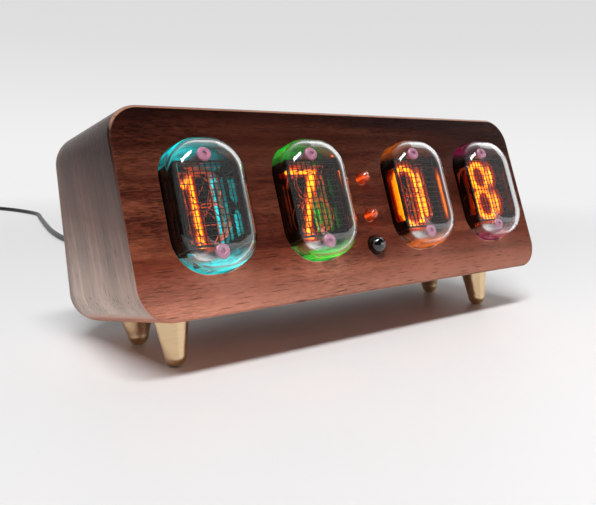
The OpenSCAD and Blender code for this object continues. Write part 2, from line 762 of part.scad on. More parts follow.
// The coil winds inward on the floor, climbs one layer in half a turn and winds out again
half = coil_turns * coil_rings;
climb = coil_rings / 4;
function coil_z(i) = let (t = min(max((i - half + climb) / (2 * climb), 0), 1))
    cord_r + coil_step * t * t * (3 - 2 * t);
function coil_r(i) = coil_in_r + coil_step * abs(half - i) / coil_rings;
function coil_point(i) = let (a = 360 * i / coil_rings)
    [coil_centre[0] + coil_r(i) * cos(a), coil_centre[1] + coil_r(i) * sin(a), coil_z(i)];
tail_x = coil_start[0];
tail_z = cord_r + coil_step;
coil_path = concat([[coil_start[0], coil_start[1], cord_r]],
    [for (i = [0 : 2 * half]) coil_point(i)],
    [for (s = [4 : 4 : tail_flat]) [tail_x, coil_centre[1] + s, tail_z]],
    [[tail_x, coil_centre[1] + (tail_flat + tail) / 2, (tail_z + usb_h / 2) / 2],
    [tail_x, usb_y - cord_d, usb_h / 2], [tail_x, usb_y, usb_h / 2]]);

least_gap = min([for (i = [0 : 2 * half - coil_rings / 2], j = [i + coil_rings / 2 : 2 * half])
    norm(coil_point(j) - coil_point(i))]) - cord_d;
echo(least_gap_between_turns = least_gap);

module cord_plug() color("#141416") case_frame() translate([0, 0, jack_z]) {
    rod(plug_grip_d, case_d, case_d + plug_grip);
    translate([0, case_d + plug_grip, 0]) rotate([-90, 0, 0])
        cylinder(d1 = plug_relief_d + 1, d2 = plug_relief_d - 1, h = plug_relief);
    difference() {
        rod(barrel_d, case_d - barrel, case_d + 1);
        rod(barrel_bore_d, case_d - barrel - 1, case_d - 0.5);
    }
}

module power_cord() color("#141416") swept_tube(smooth(cord_route), cord_r, 8);
module cord_coil() color("#141416") swept_tube(coil_path, cord_r, 6);

module usb_plug() translate([tail_x, usb_y, usb_h / 2]) {
    color("#141416") slab(0, usb_grip) round_rect(usb_w + 2 * usb_rim, usb_h, usb_rim);
    color("#c0c0c4") difference() {
        slab(usb_grip, usb_grip + usb_shell) square([usb_w, usb_shell_h], center = true);
        slab(usb_grip + 1, usb_grip + usb_shell + 1)
            square([usb_w - 2 * usb_shell_t, usb_shell_h - 2 * usb_shell_t], center = true);
    }
}

case();
back_cover();
cover_screws();
leg(legs[0]);  // front_left_leg
leg(legs[1]);  // front_right_leg
leg(legs[2]);  // back_left_leg
leg(legs[3]);  // back_right_leg
leg_inserts();
for (i = [0 : 3]) {
    tube_glass(i);
    tube_base(i);
    tube_anode(i);
    tube_cathodes(i);
    tube_spacers(i);
    socket(i);
}
tube_pins();
backlight_leds();
lamp_glass(lamp_z[0]);  // upper_lamp_glass
lamp_glass(lamp_z[1]);  // lower_lamp_glass
lamp_electrodes();
light_sensor();
sensor_leads();
display_board();
board_standoffs();
board_screws();
driver_chips();
control_board();
board_pillars();
link_header();
boost_inductor();
boost_capacitor();
controller_chip();
clock_battery();
battery_holder();
power_jack();
switch_bodies();
set_button(button_x[0]);  // hours_button
set_button(button_x[1]);  // minutes_button
set_button(button_x[2]);  // mode_button
cord_plug();
power_cord();
cord_coil();
usb_plug();
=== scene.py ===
"""Desk clock with four glowing number tubes in a walnut case on brass legs."""

import math
from contextlib import contextmanager

import bmesh
import bpy
from mathutils import Matrix, Vector


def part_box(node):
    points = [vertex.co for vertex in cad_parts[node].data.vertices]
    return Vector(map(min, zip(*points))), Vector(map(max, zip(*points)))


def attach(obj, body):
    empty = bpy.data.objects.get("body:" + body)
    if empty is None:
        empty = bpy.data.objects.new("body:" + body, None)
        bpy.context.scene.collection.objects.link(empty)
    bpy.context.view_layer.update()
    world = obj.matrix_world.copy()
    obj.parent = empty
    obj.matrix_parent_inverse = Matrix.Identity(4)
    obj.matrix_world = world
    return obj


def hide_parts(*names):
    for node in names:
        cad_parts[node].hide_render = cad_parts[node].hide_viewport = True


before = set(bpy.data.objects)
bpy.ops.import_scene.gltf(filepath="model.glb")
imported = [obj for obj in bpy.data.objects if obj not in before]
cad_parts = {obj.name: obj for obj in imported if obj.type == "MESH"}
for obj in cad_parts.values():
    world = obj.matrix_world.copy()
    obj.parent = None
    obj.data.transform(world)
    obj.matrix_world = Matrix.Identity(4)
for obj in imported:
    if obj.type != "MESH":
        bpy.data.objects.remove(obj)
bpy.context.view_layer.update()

# --- sizes, in millimetres and degrees -------------------------------------------------------
MM = 0.001
TILT, SLANT = 12, 9.5
FRONT_Z = 14.4
CASE_D = 50
FRONT_EDGE, HOLE_EDGE = 0.8, 0.35         # how far the case's edges are broken
TUBE_W, TUBE_H, TUBE_LEN, TUBE_OUT = 20, 31, 26, 7.8
TUBE_R, RIM_R, GLASS_T = 8.6, 5, 1
TUBE_Z, TUBE_X = 25.4, (-49.75, -18.75, 18.75, 49.75)
DIGIT_W, DIGIT_H, STROKE = 9.6, 18, 0.55
DIGIT_ORDER = (3, 8, 9, 4, 0, 5, 7, 2, 6, 1)
FIRST_DIGIT_Y, DIGIT_PITCH, PLATE_T = -1.8, 0.72, 0.2
ROD_Z, ROD_D, COLLAR_D, CAP_D, CAP_Y = 11.4, 1.2, 2.4, 3.6, -4
REAR_Y, REAR_T = 6.2, 0.4
LEG_X, LEG_Y = 56, (15.5, 36)
LEG_TOP_D, LEG_TIP_D = 8.4, 5.4
JACK_Z = 16.6
BUTTON_OUT = 1.2                          # from the cover to a button's end
CORD_D = 2.6

DARK_WIRE = 0.12                          # radius of the unlit digits' wire
LINE_X = 7.2                              # line of light, right of each tube's middle
LED_Y = 11.5                              # each tube's lamp, behind the face
LED_POWER, NEON_POWER, TUBE_LAMP_R = 0.006, 0.008, 1.5
SHOWN = (1, 7, 0, 8)                      # the time on the four tubes
TUBE_LIGHT = (("#00c8cc", 1.0), ("#22b02c", 0.8), ("#d8640c", 0.45), ("#b0145c", 0.3))
FLOOR = "#eeeeee"
AMBIENT = (0.06, 0.32)                    # from the front and from behind
KEY = (-0.42, -0.56, 1.35)                # the main light's place

# --- frames ----------------------------------------------------------------------------------
FRONT_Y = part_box("case")[0].y / MM
CASE = (Matrix.Translation(Vector((0, FRONT_Y, FRONT_Z)) * MM)
        @ Matrix.Rotation(math.radians(-TILT), 4, "X"))
FACE = CASE @ Matrix.Rotation(math.radians(-SLANT), 4, "X")


def spot(base, x, y, z):
    """Frame base, moved to a place in it that is given in millimetres."""
    return base @ Matrix.Translation(Vector((x, y, z)) * MM)


def placed(name, data):
    """A new object in the scene that holds the data."""
    obj = bpy.data.objects.new(name, data)
    bpy.context.scene.collection.objects.link(obj)
    return obj


# --- camera ----------------------------------------------------------------------------------
CAMERA_AT = (-126.9, -127.72, 53.88)      # from the middle of the lower front edge
CAMERA_TURN = (80.457, -0.885, -37.081)   # degrees round X, Y and Z
LENS, SENSOR = 40.96, 36


def make_camera():
    data = bpy.data.cameras.new("camera")
    data.lens, data.sensor_width = LENS, SENSOR
    data.clip_start, data.clip_end = 0.01, 20
    camera = placed("camera", data)
    camera.location = (Vector(CAMERA_AT) + Vector((0, FRONT_Y, 0))) * MM
    camera.rotation_euler = [math.radians(a) for a in CAMERA_TURN]
    bpy.context.scene.camera = camera


make_camera()

# --- materials -------------------------------------------------------------------------------
def colour(code):
    """An sRGB hex colour as linear RGBA."""
    parts = [int(code[i:i + 2], 16) / 255 for i in (1, 3, 5)]
    return [c / 12.92 if c <= 0.04045 else ((c + 0.055) / 1.055) ** 2.4 for c in parts] + [1]


def add(tree, kind, inputs=None, stops=None, **settings):
    """Adds a node; inputs maps its sockets to values, to other nodes' sockets or to nodes,
    which give their first output."""
    made = tree.nodes.new("ShaderNode" + kind)
    for key, value in settings.items():
        setattr(made, key, value)
    for key, value in (inputs or {}).items():
        if isinstance(value, bpy.types.Node):
            value = value.outputs[0]
        if isinstance(value, bpy.types.NodeSocket):
            tree.links.new(value, made.inputs[key])
        else:
            made.inputs[key].default_value = value
    if stops:
        ramp = made.color_ramp.elements
        while len(ramp) < len(stops):
            ramp.new(0.5)
        for element, (place, code) in zip(ramp, stops):
            element.position, element.color = place, colour(code)
    return made


def new_material(name):
    """A material with an empty tree; returns it and its tree."""
    material = bpy.data.materials.new(name)
    material.use_nodes = True
    material.node_tree.nodes.clear()
    return material, material.node_tree


def finish_material(tree, shader):
    add(tree, "OutputMaterial", {"Surface": shader})


def finish_glass(tree, shader, tint):
    """Ends a glass, which lets the lights through to what it holds."""
    passing = add(tree, "BsdfTransparent", {"Color": colour(tint)})
    shadow = add(tree, "LightPath").outputs["Is Shadow Ray"]
    finish_material(tree, add(tree, "MixShader", {0: shadow, 1: shader, 2: passing}))


def shader_of(material):
    """The material's principled shader."""
    return next(n for n in material.node_tree.nodes if n.bl_idname == "ShaderNodeBsdfPrincipled")


def light_up(material, code, power):
    """Gives the material's shader a light of its own; power is a node."""
    shader = shader_of(material)
    shader.inputs["Emission Color"].default_value = colour(code)
    material.node_tree.links.new(power.outputs[0], shader.inputs["Emission Strength"])
    return material


def grain(tree, size, stretch=(1, 1, 1), turn=(0, 0, 0), detail=3, rough=0.55, warp=0,
          place=None):
    """Noise whose features are size millimetres, longer along an axis that stretch divides."""
    place = place or add(tree, "TexCoord").outputs["Object"]
    spin = add(tree, "Mapping", {"Vector": place, "Rotation": [math.radians(a) for a in turn]},
               vector_type="POINT")
    long = add(tree, "Mapping", {"Vector": spin, "Scale": [1 / s for s in stretch]})
    return add(tree, "TexNoise", {"Vector": long, "Scale": 1 / (size * MM),
                                  "Detail": detail, "Roughness": rough, "Distortion": warp})


def plain(name, code, rough, metal=0.0, speck=0.3, bump=0.0, spread=0.12, other=None,
          coat=0.0, stretch=(1, 1, 1), turn=(0, 0, 0)):
    """A solid material with a fine-grained surface: its colour, roughness and height vary."""
    material, tree = new_material(name)
    noise = grain(tree, speck, stretch, turn)
    tone = add(tree, "ValToRGB", {"Fac": noise}, stops=[(0.3, code), (0.7, other or code)])
    sheen = add(tree, "MapRange", {"Value": noise, "To Min": rough - spread,
                                   "To Max": rough + spread})
    shader = add(tree, "BsdfPrincipled", {"Base Color": tone, "Metallic": metal,
                                          "Roughness": sheen, "Coat Weight": coat})
    if bump:
        relief = add(tree, "Bump", {"Height": noise, "Distance": bump * MM, "Strength": 1.0})
        tree.links.new(relief.outputs[0], shader.inputs["Normal"])
    finish_material(tree, shader)
    return material


def oiled_walnut():
    """Oiled black walnut: red-brown with a fine curly ripple across the grain and dark open pores.
    Painted light over it: darker towards the top, a paler painted sheen towards the lower edge and
    lower left, a grey-brown painted sheen on the ends and a painted highlight on the top front
    edge."""
    material, tree = new_material("oiled_walnut")
    place = add(tree, "TexCoord").outputs["Object"]
    height = add(tree, "SeparateXYZ", {0: place}).outputs["Z"]
    upright = add(tree, "Mapping", {"Vector": place,
                                    "Rotation": [math.radians(TILT + SLANT), 0, 0]})
    axes = add(tree, "SeparateXYZ", {0: upright}).outputs
    down = add(tree, "CombineXYZ", {0: axes["Z"], 1: axes["Y"], 2: axes["X"]})
    facing = add(tree, "SeparateXYZ", {0: add(tree, "NewGeometry").outputs["Normal"]}).outputs
    side = add(tree, "Math", {0: facing["X"]}, operation="ABSOLUTE")
    end = add(tree, "MapRange", {"Value": side, "From Min": 0.55, "From Max": 0.75})
    top = add(tree, "MapRange", {"Value": facing["Z"], "From Min": 0.6, "From Max": 0.9})
    with_grain = add(tree, "Mix", {0: end, 4: upright, 5: down}, data_type="VECTOR").outputs[1]

    def figure(size, stretch, **how):
        return grain(tree, size, stretch, place=with_grain, **how)

    def light_by_height(*stops):
        rise = add(tree, "MapRange", {"Value": height, "From Min": 0.012, "From Max": 0.062})
        return add(tree, "ValToRGB", {"Fac": rise}, stops=stops)

    rings = figure(6, (14, 0.8, 1), detail=2, rough=0.5, warp=0.8)
    ripple = figure(0.6, (5.5, 1.2, 1), detail=2, rough=0.6, warp=1.3)
    pores = figure(0.5, (12, 0.7, 0.7), detail=1, rough=0.5)
    patch = figure(30, (1.8, 1, 0.7), detail=1)
    calm = add(tree, "MapRange", {"Value": height, "From Min": 0.018, "From Max": 0.028,
                                  "To Min": 0.3, "To Max": 1.0})
    streak = add(tree, "Mix", {0: calm, 2: 0.62, 3: rings})
    base = add(tree, "ValToRGB", {"Fac": streak},
               stops=[(0.34, "#4e1e10"), (0.45, "#622a1a"), (0.55, "#733624"), (0.68, "#8c4a33")])
    # Painted sheen: the face turns paler and greyer towards its lower edge.
    low_sheen = add(tree, "MapRange", {"Value": height, "From Min": 0.012, "From Max": 0.026,
                                   "To Min": 0.6, "To Max": 0.0})
    base = add(tree, "Mix", {0: low_sheen, 6: base, 7: colour("#8e6c5e")}, data_type="RGBA")
    # Painted grey sheen on the ends.
    base = add(tree, "Mix", {0: end, 6: base.outputs[2], 7: colour("#988a84")},
               data_type="RGBA", blend_type="SCREEN")
    lean = add(tree, "Mapping", {"Vector": place, "Rotation": [math.radians(TILT), 0, 0]})
    rear = add(tree, "MapRange", {"Value": add(tree, "SeparateXYZ", {0: lean}).outputs["Y"],
                                  "From Min": 0.0085, "From Max": 0.0145, "To Min": 0.0,
                                  "To Max": 0.75}, interpolation_type="SMOOTHSTEP")
    curl = add(tree, "MapRange", {"Value": patch, "From Min": 0.35, "From Max": 0.6,
                                  "To Min": 1.0, "To Max": 0.3})
    still = add(tree, "MapRange", {"Value": end, "To Min": 1.0, "To Max": 0.25})
    for share in (calm, still):
        curl = add(tree, "Math", {0: curl, 1: share}, operation="MULTIPLY")
    wave = add(tree, "MapRange", {"Value": ripple, "From Min": 0.34, "From Max": 0.66,
                                  "To Min": -1.25, "To Max": 1.0})
    wave = add(tree, "Math", {0: wave, 1: curl, 2: 1.75}, operation="MULTIPLY_ADD")
    # Painted light and shade by height: darker towards the top, paler low down, on the face and on
    # the ends.
    face_light_paint = light_by_height((0.04, "#ffffff"), (0.2, "#d4d4d4"), (0.4, "#a4a4a4"), (0.8, "#767676"),
                     (1.0, "#4a4644"))
    end_light_paint = light_by_height((0.05, "#e4f0ef"), (0.44, "#8c837f"), (0.76, "#432b21"), (1.0, "#2e1c15"))
    bands = add(tree, "MapRange", {"Value": rings, "From Min": 0.35, "From Max": 0.65,
                                   "To Min": 0.86, "To Max": 1.12})
    end_light_paint = add(tree, "VectorMath", {0: end_light_paint, "Scale": bands}, operation="SCALE")
    pale = add(tree, "Mix", {0: end, 6: face_light_paint, 7: end_light_paint}, data_type="RGBA")
    # Up-facing surfaces get a lighter painted tone, as if lit from above.
    pale = add(tree, "Mix", {0: top, 6: pale.outputs[2], 7: colour("#9aa4a4")}, data_type="RGBA")
    shade = add(tree, "VectorMath", {0: base.outputs[2], "Scale": wave}, operation="SCALE")
    shade = add(tree, "VectorMath", {0: shade, 1: pale.outputs[2]}, operation="MULTIPLY")
    # Painted sheen: the face is lighter towards its lower left.
    left = add(tree, "SeparateXYZ", {0: place}).outputs["X"]
    left = add(tree, "MapRange", {"Value": left, "From Min": -0.015, "From Max": -0.05,
                                  "To Min": 1.0, "To Max": 1.65})
    left = add(tree, "Mix", {0: calm, 2: left, 3: 1.0})
    left = add(tree, "Mix", {0: end, 2: left, 3: 1.0})
    shade = add(tree, "VectorMath", {0: shade, "Scale": left}, operation="SCALE")
    rear = add(tree, "Math", {0: rear, 1: end}, operation="MULTIPLY")
    shade = add(tree, "Mix", {0: rear, 6: shade, 7: colour("#7a5f4c")}, data_type="RGBA")
    # Painted highlight along the rounded top front edge.
    edge_highlight = add(tree, "MapRange", {"Value": facing["Z"], "From Min": 0.42, "From Max": 0.6})
    for axis, start, stop in (("Z", 0.96, 0.9), ("Y", -0.1, -0.25)):
        part = add(tree, "MapRange", {"Value": facing[axis], "From Min": start, "From Max": stop})
        edge_highlight = add(tree, "Math", {0: edge_highlight, 1: part}, operation="MULTIPLY")
    shade = add(tree, "Mix", {0: edge_highlight, 6: shade.outputs[2], 7: colour("#a87a64")},
                data_type="RGBA")
    hole = add(tree, "MapRange", {"Value": pores, "From Min": 0.6, "From Max": 0.72,
                                  "To Min": 0.0, "To Max": 0.6})
    body = add(tree, "Mix", {0: hole, 6: shade.outputs[2], 7: colour("#200c07")},
               data_type="RGBA")
    sheen = add(tree, "MapRange", {"Value": ripple, "From Min": 0.3, "From Max": 0.7,
                                   "To Min": 0.28, "To Max": 0.42})
    depth = add(tree, "Math", {0: hole, 1: -1.0, 2: ripple}, operation="MULTIPLY_ADD")
    relief = add(tree, "Bump", {"Height": depth, "Distance": 0.05 * MM, "Strength": 0.6})
    shader = add(tree, "BsdfPrincipled", {"Base Color": body.outputs[2],
                                          "Roughness": sheen, "IOR": 1.45,
                                          "Specular IOR Level": 0.09, "Normal": relief})
    finish_material(tree, shader)
    return material


def lamp_glass():
    """Small blown bulb: clear glass that the neon in it tints and faintly lights."""
    material, tree = new_material("lamp_glass")
    tint = "#ffd8c4"
    shader = add(tree, "BsdfPrincipled", {"Base Color": colour(tint), "Roughness": 0.0,
                                          "Transmission Weight": 1.0, "IOR": 1.5,
                                          "Emission Color": colour("#f04a14"),
                                          "Emission Strength": 0.05})
    finish_glass(tree, shader, tint)
    return material


def glow(name, code, strength, solid=1.0, speck=1.5):
    """Lit neon: an even light, its strength a little uneven along the wire."""
    material, tree = new_material(name)
    noise = grain(tree, speck)
    power = add(tree, "MapRange", {"Value": noise, "From Min": 0.3, "From Max": 0.7,
                                   "To Min": strength * 0.75, "To Max": strength * 1.25})
    light = add(tree, "Emission", {"Color": colour(code), "Strength": power})
    if solid < 1:
        open_air = add(tree, "BsdfTransparent")
        light = add(tree, "MixShader", {0: solid, 1: open_air, 2: light})
    finish_material(tree, light)
    return material


def lit_plastic(name, code, strength):
    """A moulded face that a lamp behind it lights, with its own surface over the light."""
    material, tree = new_material(name)
    noise = grain(tree, 0.6)
    power = add(tree, "MapRange", {"Value": noise, "To Min": strength * 0.8,
                                   "To Max": strength * 1.2})
    shader = add(tree, "BsdfPrincipled", {"Base Color": colour(code), "Roughness": 0.4,
                                          "Emission Color": colour(code),
                                          "Emission Strength": power})
    finish_material(tree, shader)
    return material


# --- making pieces ---------------------------------------------------------------------------
def only(obj):
    """Makes obj the one selected, active object."""
    bpy.ops.object.select_all(action="DESELECT")
    obj.select_set(True)
    bpy.context.view_layer.objects.active = obj
    return obj


@contextmanager
def editing(obj, kind="FACE"):
    """Edit mode with nothing selected; gives the mesh as bmesh."""
    only(obj)
    bpy.ops.object.mode_set(mode="EDIT")
    bpy.ops.mesh.select_mode(type=kind)
    bpy.ops.mesh.select_all(action="DESELECT")
    yield bmesh.from_edit_mesh(obj.data)
    bpy.ops.object.mode_set(mode="OBJECT")


def pick(obj, parts, test):
    """Selects the faces or edges whose middle passes the test."""
    for part in parts:
        middle = sum((v.co for v in part.verts), Vector()) / len(part.verts)
        if test(middle / MM, part):
            part.select_set(True)
    bmesh.update_edit_mesh(obj.data)


def apply_modifier(obj, kind, **settings):
    only(obj)
    modifier = obj.modifiers.new(kind.lower(), kind)
    for key, value in settings.items():
        setattr(modifier, key, value)
    bpy.ops.object.modifier_apply(modifier=modifier.name)


def smooth(obj, angle=35):
    """Smooth shading, but for edges sharper than the angle."""
    only(obj)
    bpy.ops.object.shade_smooth_by_angle(angle=math.radians(angle))
    return obj


def flat_sided(obj, angle=30):
    """Smooth shading that leaves the large faces beside a bevel flat."""
    smooth(obj, angle)
    apply_modifier(obj, "WEIGHTED_NORMAL", keep_sharp=True, weight=100)
    return obj


def block(name, low, high):
    """A box between two corners, in millimetres, ready to be shaped."""
    bpy.ops.mesh.primitive_cube_add(size=1)
    obj = bpy.context.object
    obj.name = obj.data.name = name
    low, high = Vector(low) * MM, Vector(high) * MM
    obj.location, obj.scale = (low + high) / 2, high - low
    bpy.ops.object.transform_apply()
    return obj


def along(axis):
    """A test for edges that run along an axis."""
    def test(middle, edge):
        way = (edge.verts[0].co - edge.verts[1].co).normalized()
        return abs(way[axis]) > 0.99
    return test


def bevel(obj, test, radius, segments):
    with editing(obj, "EDGE") as bm:
        pick(obj, bm.edges, test)
        bpy.ops.mesh.bevel(offset=radius * MM, segments=segments, affect="EDGES",
                           clamp_overlap=False)


def turned(name, profile, steps=48):
    """Spins a profile of (radius, height) points round Z."""
    mesh = bpy.data.meshes.new(name)
    mesh.from_pydata([(r * MM, 0, z * MM) for r, z in profile],
                     [(i, i + 1) for i in range(len(profile) - 1)], [])
    obj = placed(name, mesh)
    with editing(obj, "VERT"):
        bpy.ops.mesh.select_all(action="SELECT")
        bpy.ops.mesh.spin(steps=steps, angle=2 * math.pi, center=(0, 0, 0), axis=(0, 0, 1))
        bpy.ops.mesh.select_all(action="SELECT")
        bpy.ops.mesh.remove_doubles(threshold=0.002 * MM)
        bpy.ops.mesh.normals_make_consistent(inside=False)
    return smooth(obj)


def round_bit(middle, radius, start, end, count=6):
    """Points of an arc, from angle start to end in degrees."""
    return [(middle[0] + radius * math.cos(math.radians(start + (end - start) * k / count)),
             middle[1] + radius * math.sin(math.radians(start + (end - start) * k / count)))
            for k in range(count + 1)]


def wire_curve(name, lines, radius, sides):
    """Round wires along lines of points in millimetres, as one curve."""
    curve = bpy.data.curves.new(name, "CURVE")
    curve.dimensions = "3D"
    curve.bevel_depth, curve.bevel_resolution, curve.use_fill_caps = radius * MM, sides, True
    for points, closed in lines:
        spline = curve.splines.new("POLY")
        spline.points.add(len(points) - 1)
        for place, point in zip(spline.points, points):
            place.co = (*(Vector(point) * MM), 1)
        spline.use_cyclic_u = closed
    return placed(name, curve)


def join(name, pieces):
    only(pieces[0])
    for piece in pieces[1:]:
        piece.select_set(True)
    bpy.ops.object.join()
    obj = bpy.context.object
    obj.name = obj.data.name = name
    return obj


def settle(obj, place):
    """Puts a piece made round the origin at its place and writes that into its mesh."""
    only(obj)
    obj.matrix_world = place
    bpy.ops.object.transform_apply()
    return obj


def belongs(obj, body, nodes=(), material=None):
    """The piece rides on a body, takes its finish from a slot and stands for CAD nodes."""
    if material:
        obj.data.materials.clear()
        obj.data.materials.append(material)
    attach(obj, body)
    if nodes:
        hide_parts(*nodes)
    return obj


def merged_copy(node, name):
    """A copy of a CAD node with its loose triangles joined and flat areas made one face."""
    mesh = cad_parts[node].data.copy()
    obj = placed(name, mesh)
    if mesh.has_custom_normals:
        only(obj)
        bpy.ops.mesh.customdata_custom_splitnormals_clear()
    with editing(obj):
        bpy.ops.mesh.select_all(action="SELECT")
        bpy.ops.mesh.remove_doubles(threshold=0.001 * MM)
        bpy.ops.mesh.dissolve_limited(angle_limit=math.radians(0.5))
    return obj


# --- cord, first of the pieces ---------------------------------------------------------------
CORD_R = CORD_D / 2
PLUG_D, PLUG_GRIP, PLUG_RELIEF = 9.5, 12, 6
EXIT_Y = CASE_D + PLUG_GRIP + PLUG_RELIEF
CORD_ROUTE = [(-1, 66, 7), (-3, 78, 3.6), (-5, 92, CORD_R), (-9, 120, CORD_R), (-13, 155, CORD_R),
              (-14, 190, CORD_R), (-11, 220, CORD_R), (-5, 252, CORD_R), (2, 285, CORD_R),
              (7, 312, CORD_R), (2, 340, CORD_R), (-5, 358, CORD_R), (-10.6, 370, CORD_R),
              (-12, 377, CORD_R), (-12, 381, CORD_R), (-12, 385, CORD_R)]
COIL_START, COIL_IN_R, COIL_TURNS = (-12, 385), 10, 5
COIL_STEP = CORD_D + 0.5
COIL_STEPS = 48                           # points in one turn
USB_H, USB_GRIP = 8.5, 20                 # the far plug's grip
SHELL_W, SHELL_H, SHELL_LEN = 12, 4.5, 12
TAIL = 34                                 # cord from the coil's middle to the far plug


def cord_points():
    """The cord's middle line: out of the plug, over the floor, round the coil, to the far plug."""
    leave = [(CASE @ Vector((0, y * MM, JACK_Z * MM))) / MM
             for y in (EXIT_Y, EXIT_Y + CORD_D, EXIT_Y + 3 * CORD_D)]
    knots = leave + [Vector(p) for p in CORD_ROUTE]
    points = []
    for i in range(len(knots) - 1):
        a, b, c, d = (knots[min(max(j, 0), len(knots) - 1)] for j in (i - 1, i, i + 1, i + 2))
        for t in (k / 8 for k in range(8)):
            points.append(0.5 * (2 * b + (c - a) * t + (2 * a - 5 * b + 4 * c - d) * t * t
                                 + (3 * b - a - 3 * c + d) * t ** 3))
    points.append(knots[-1])
    middle = (COIL_START[0] - COIL_IN_R - COIL_STEP * COIL_TURNS, COIL_START[1] + CORD_D)
    half, climb = COIL_TURNS * COIL_STEPS, COIL_STEPS // 4
    for i in range(2 * half + 1):
        t = min(max((i - half + climb) / (2 * climb), 0), 1)
        r = COIL_IN_R + COIL_STEP * abs(half - i) / COIL_STEPS
        turn = 2 * math.pi * i / COIL_STEPS
        points.append(Vector((middle[0] + r * math.cos(turn), middle[1] + r * math.sin(turn),
                              CORD_R + COIL_STEP * t * t * (3 - 2 * t))))
    for point in points:
        point.z = max(point.z, CORD_R)
    high, x, far = CORD_R + COIL_STEP, COIL_START[0], middle[1] + TAIL
    points += [Vector((x, middle[1] + s, high)) for s in (4, 8, 12)]
    points += [Vector((x, middle[1] + 23, (high + USB_H / 2) / 2)),
               Vector((x, far - CORD_D, USB_H / 2)), Vector((x, far, USB_H / 2))]
    return points, middle, far


def power_cord():
    points, middle, far = cord_points()
    cord = wire_curve("power_lead", [(points, False)], CORD_R, 4)
    length = sum((b - a).length for a, b in zip(points, points[1:])) * MM
    print("cord length", round(length, 4))
    return cord, length, points[0] * MM, middle, far


def cord_plug_piece():
    """Moulded barrel plug with a ribbed strain relief; Z runs from the case along the cord."""
    grip_r, grip, relief = PLUG_D / 2, PLUG_GRIP, PLUG_RELIEF
    profile = [(0, -9), (2.5, -9), (2.75, -8.75), (2.75, 0)]
    profile += [(grip_r - 0.5, 0)] + round_bit((grip_r - 0.5, 0.5), 0.5, -90, 0, 3)
    for k in range(5):                    # finger grooves round the grip
        z = 3 + 1.6 * k
        profile += [(grip_r, z - 0.5), (grip_r - 0.35, z - 0.2),
                    (grip_r - 0.35, z + 0.2), (grip_r, z + 0.5)]
    profile += round_bit((grip_r - 0.8, grip - 0.8), 0.8, 0, 90, 4)
    for k in range(4):                    # rings of the strain relief
        z, r = grip + relief * k / 4, 3.5 - k * 0.25
        profile += [(r, z + 0.1), (r, z + 0.95), (r - 0.6, z + 1.05), (r - 0.6, z + 1.4)]
    profile += [(2.5, grip + relief), (0, grip + relief)]
    return turned("barrel_plug", profile)


def usb_plug_piece():
    grip = block("usb_grip", (-7.5, 0, -USB_H / 2), (7.5, USB_GRIP, USB_H / 2))
    bevel(grip, along(1), 1.5, 5)
    bevel(grip, lambda m, e: m.y < 0.01 or m.y > USB_GRIP - 0.01, 0.6, 3)
    with editing(grip) as bm:
        pick(grip, bm.faces, lambda m, f: abs(f.normal.z) > 0.99 and f.calc_area() > 1e-4)
        bpy.ops.mesh.inset(thickness=2 * MM, depth=-0.35 * MM, use_individual=True)
    return smooth(grip, 30)


def usb_shell_piece():
    shell = block("usb_shell", (-SHELL_W / 2, USB_GRIP, -SHELL_H / 2),
                  (SHELL_W / 2, USB_GRIP + SHELL_LEN, SHELL_H / 2))
    bevel(shell, along(1), 0.4, 3)

    def broad(middle, face):
        return abs(face.normal.z) > 0.99 and abs(middle.z) > SHELL_H / 2 - 0.05

    with editing(shell) as bm:
        pick(shell, bm.faces, lambda m, f: f.normal.y > 0.99)
        bpy.ops.mesh.inset(thickness=0.3 * MM)
        inwards = (0, (1 - SHELL_LEN) * MM, 0)
        bpy.ops.mesh.extrude_region_move(TRANSFORM_OT_translate={"value": inwards})
    with editing(shell) as bm:            # two square windows pressed into each broad side
        pick(shell, bm.faces, broad)
        bpy.ops.mesh.subdivide(number_cuts=6)
    with editing(shell) as bm:
        pick(shell, bm.faces, lambda m, f: broad(m, f) and 2 < abs(m.x) < 4
             and USB_GRIP + 5 < m.y < USB_GRIP + 8)
        bpy.ops.mesh.inset(thickness=0.2 * MM, depth=-0.25 * MM)
    return smooth(shell, 30)


def cord_tie(middle):
    """Strap round the coil's turns, on its side towards the clock."""
    low, high = COIL_IN_R - CORD_R - 0.8, COIL_IN_R + COIL_STEP * COIL_TURNS + CORD_R + 0.8
    top = CORD_D + COIL_STEP + 0.6
    strap = block("cord_tie", (-3, -high, 0.02), (3, -low, top))
    bevel(strap, along(0), 1.6, 5)
    with editing(strap) as bm:
        pick(strap, bm.faces, lambda m, f: abs(f.normal.x) > 0.99)
        bpy.ops.mesh.delete(type="FACE")
    apply_modifier(strap, "SOLIDIFY", thickness=0.45 * MM, offset=-1)
    return settle(smooth(strap, 30), Matrix.Translation(Vector((*middle, 0)) * MM))


# --- case, cover and legs --------------------------------------------------------------------
def rim(base, y, least=0.5):
    """A test for the edges of a flat end that lies at y in a frame."""
    inverse = base.inverted()
    return lambda middle, edge: (all(abs((inverse @ v.co).y / MM - y) < 0.02 for v in edge.verts)
                                 and len(edge.link_faces) == 2
                                 and edge.calc_face_angle() > least)


def refill(obj, test):
    """Fills the outline and holes of the flat faces that pass the test with clean triangles."""
    with editing(obj) as bm:
        pick(obj, bm.faces, test)
        bpy.ops.mesh.delete(type="FACE")
    with editing(obj, "EDGE") as bm:
        pick(obj, bm.edges, lambda middle, edge: len(edge.link_faces) == 1)
        bpy.ops.mesh.fill(use_beauty=True)
        bpy.ops.mesh.select_all(action="SELECT")
        bpy.ops.mesh.normals_make_consistent(inside=False)


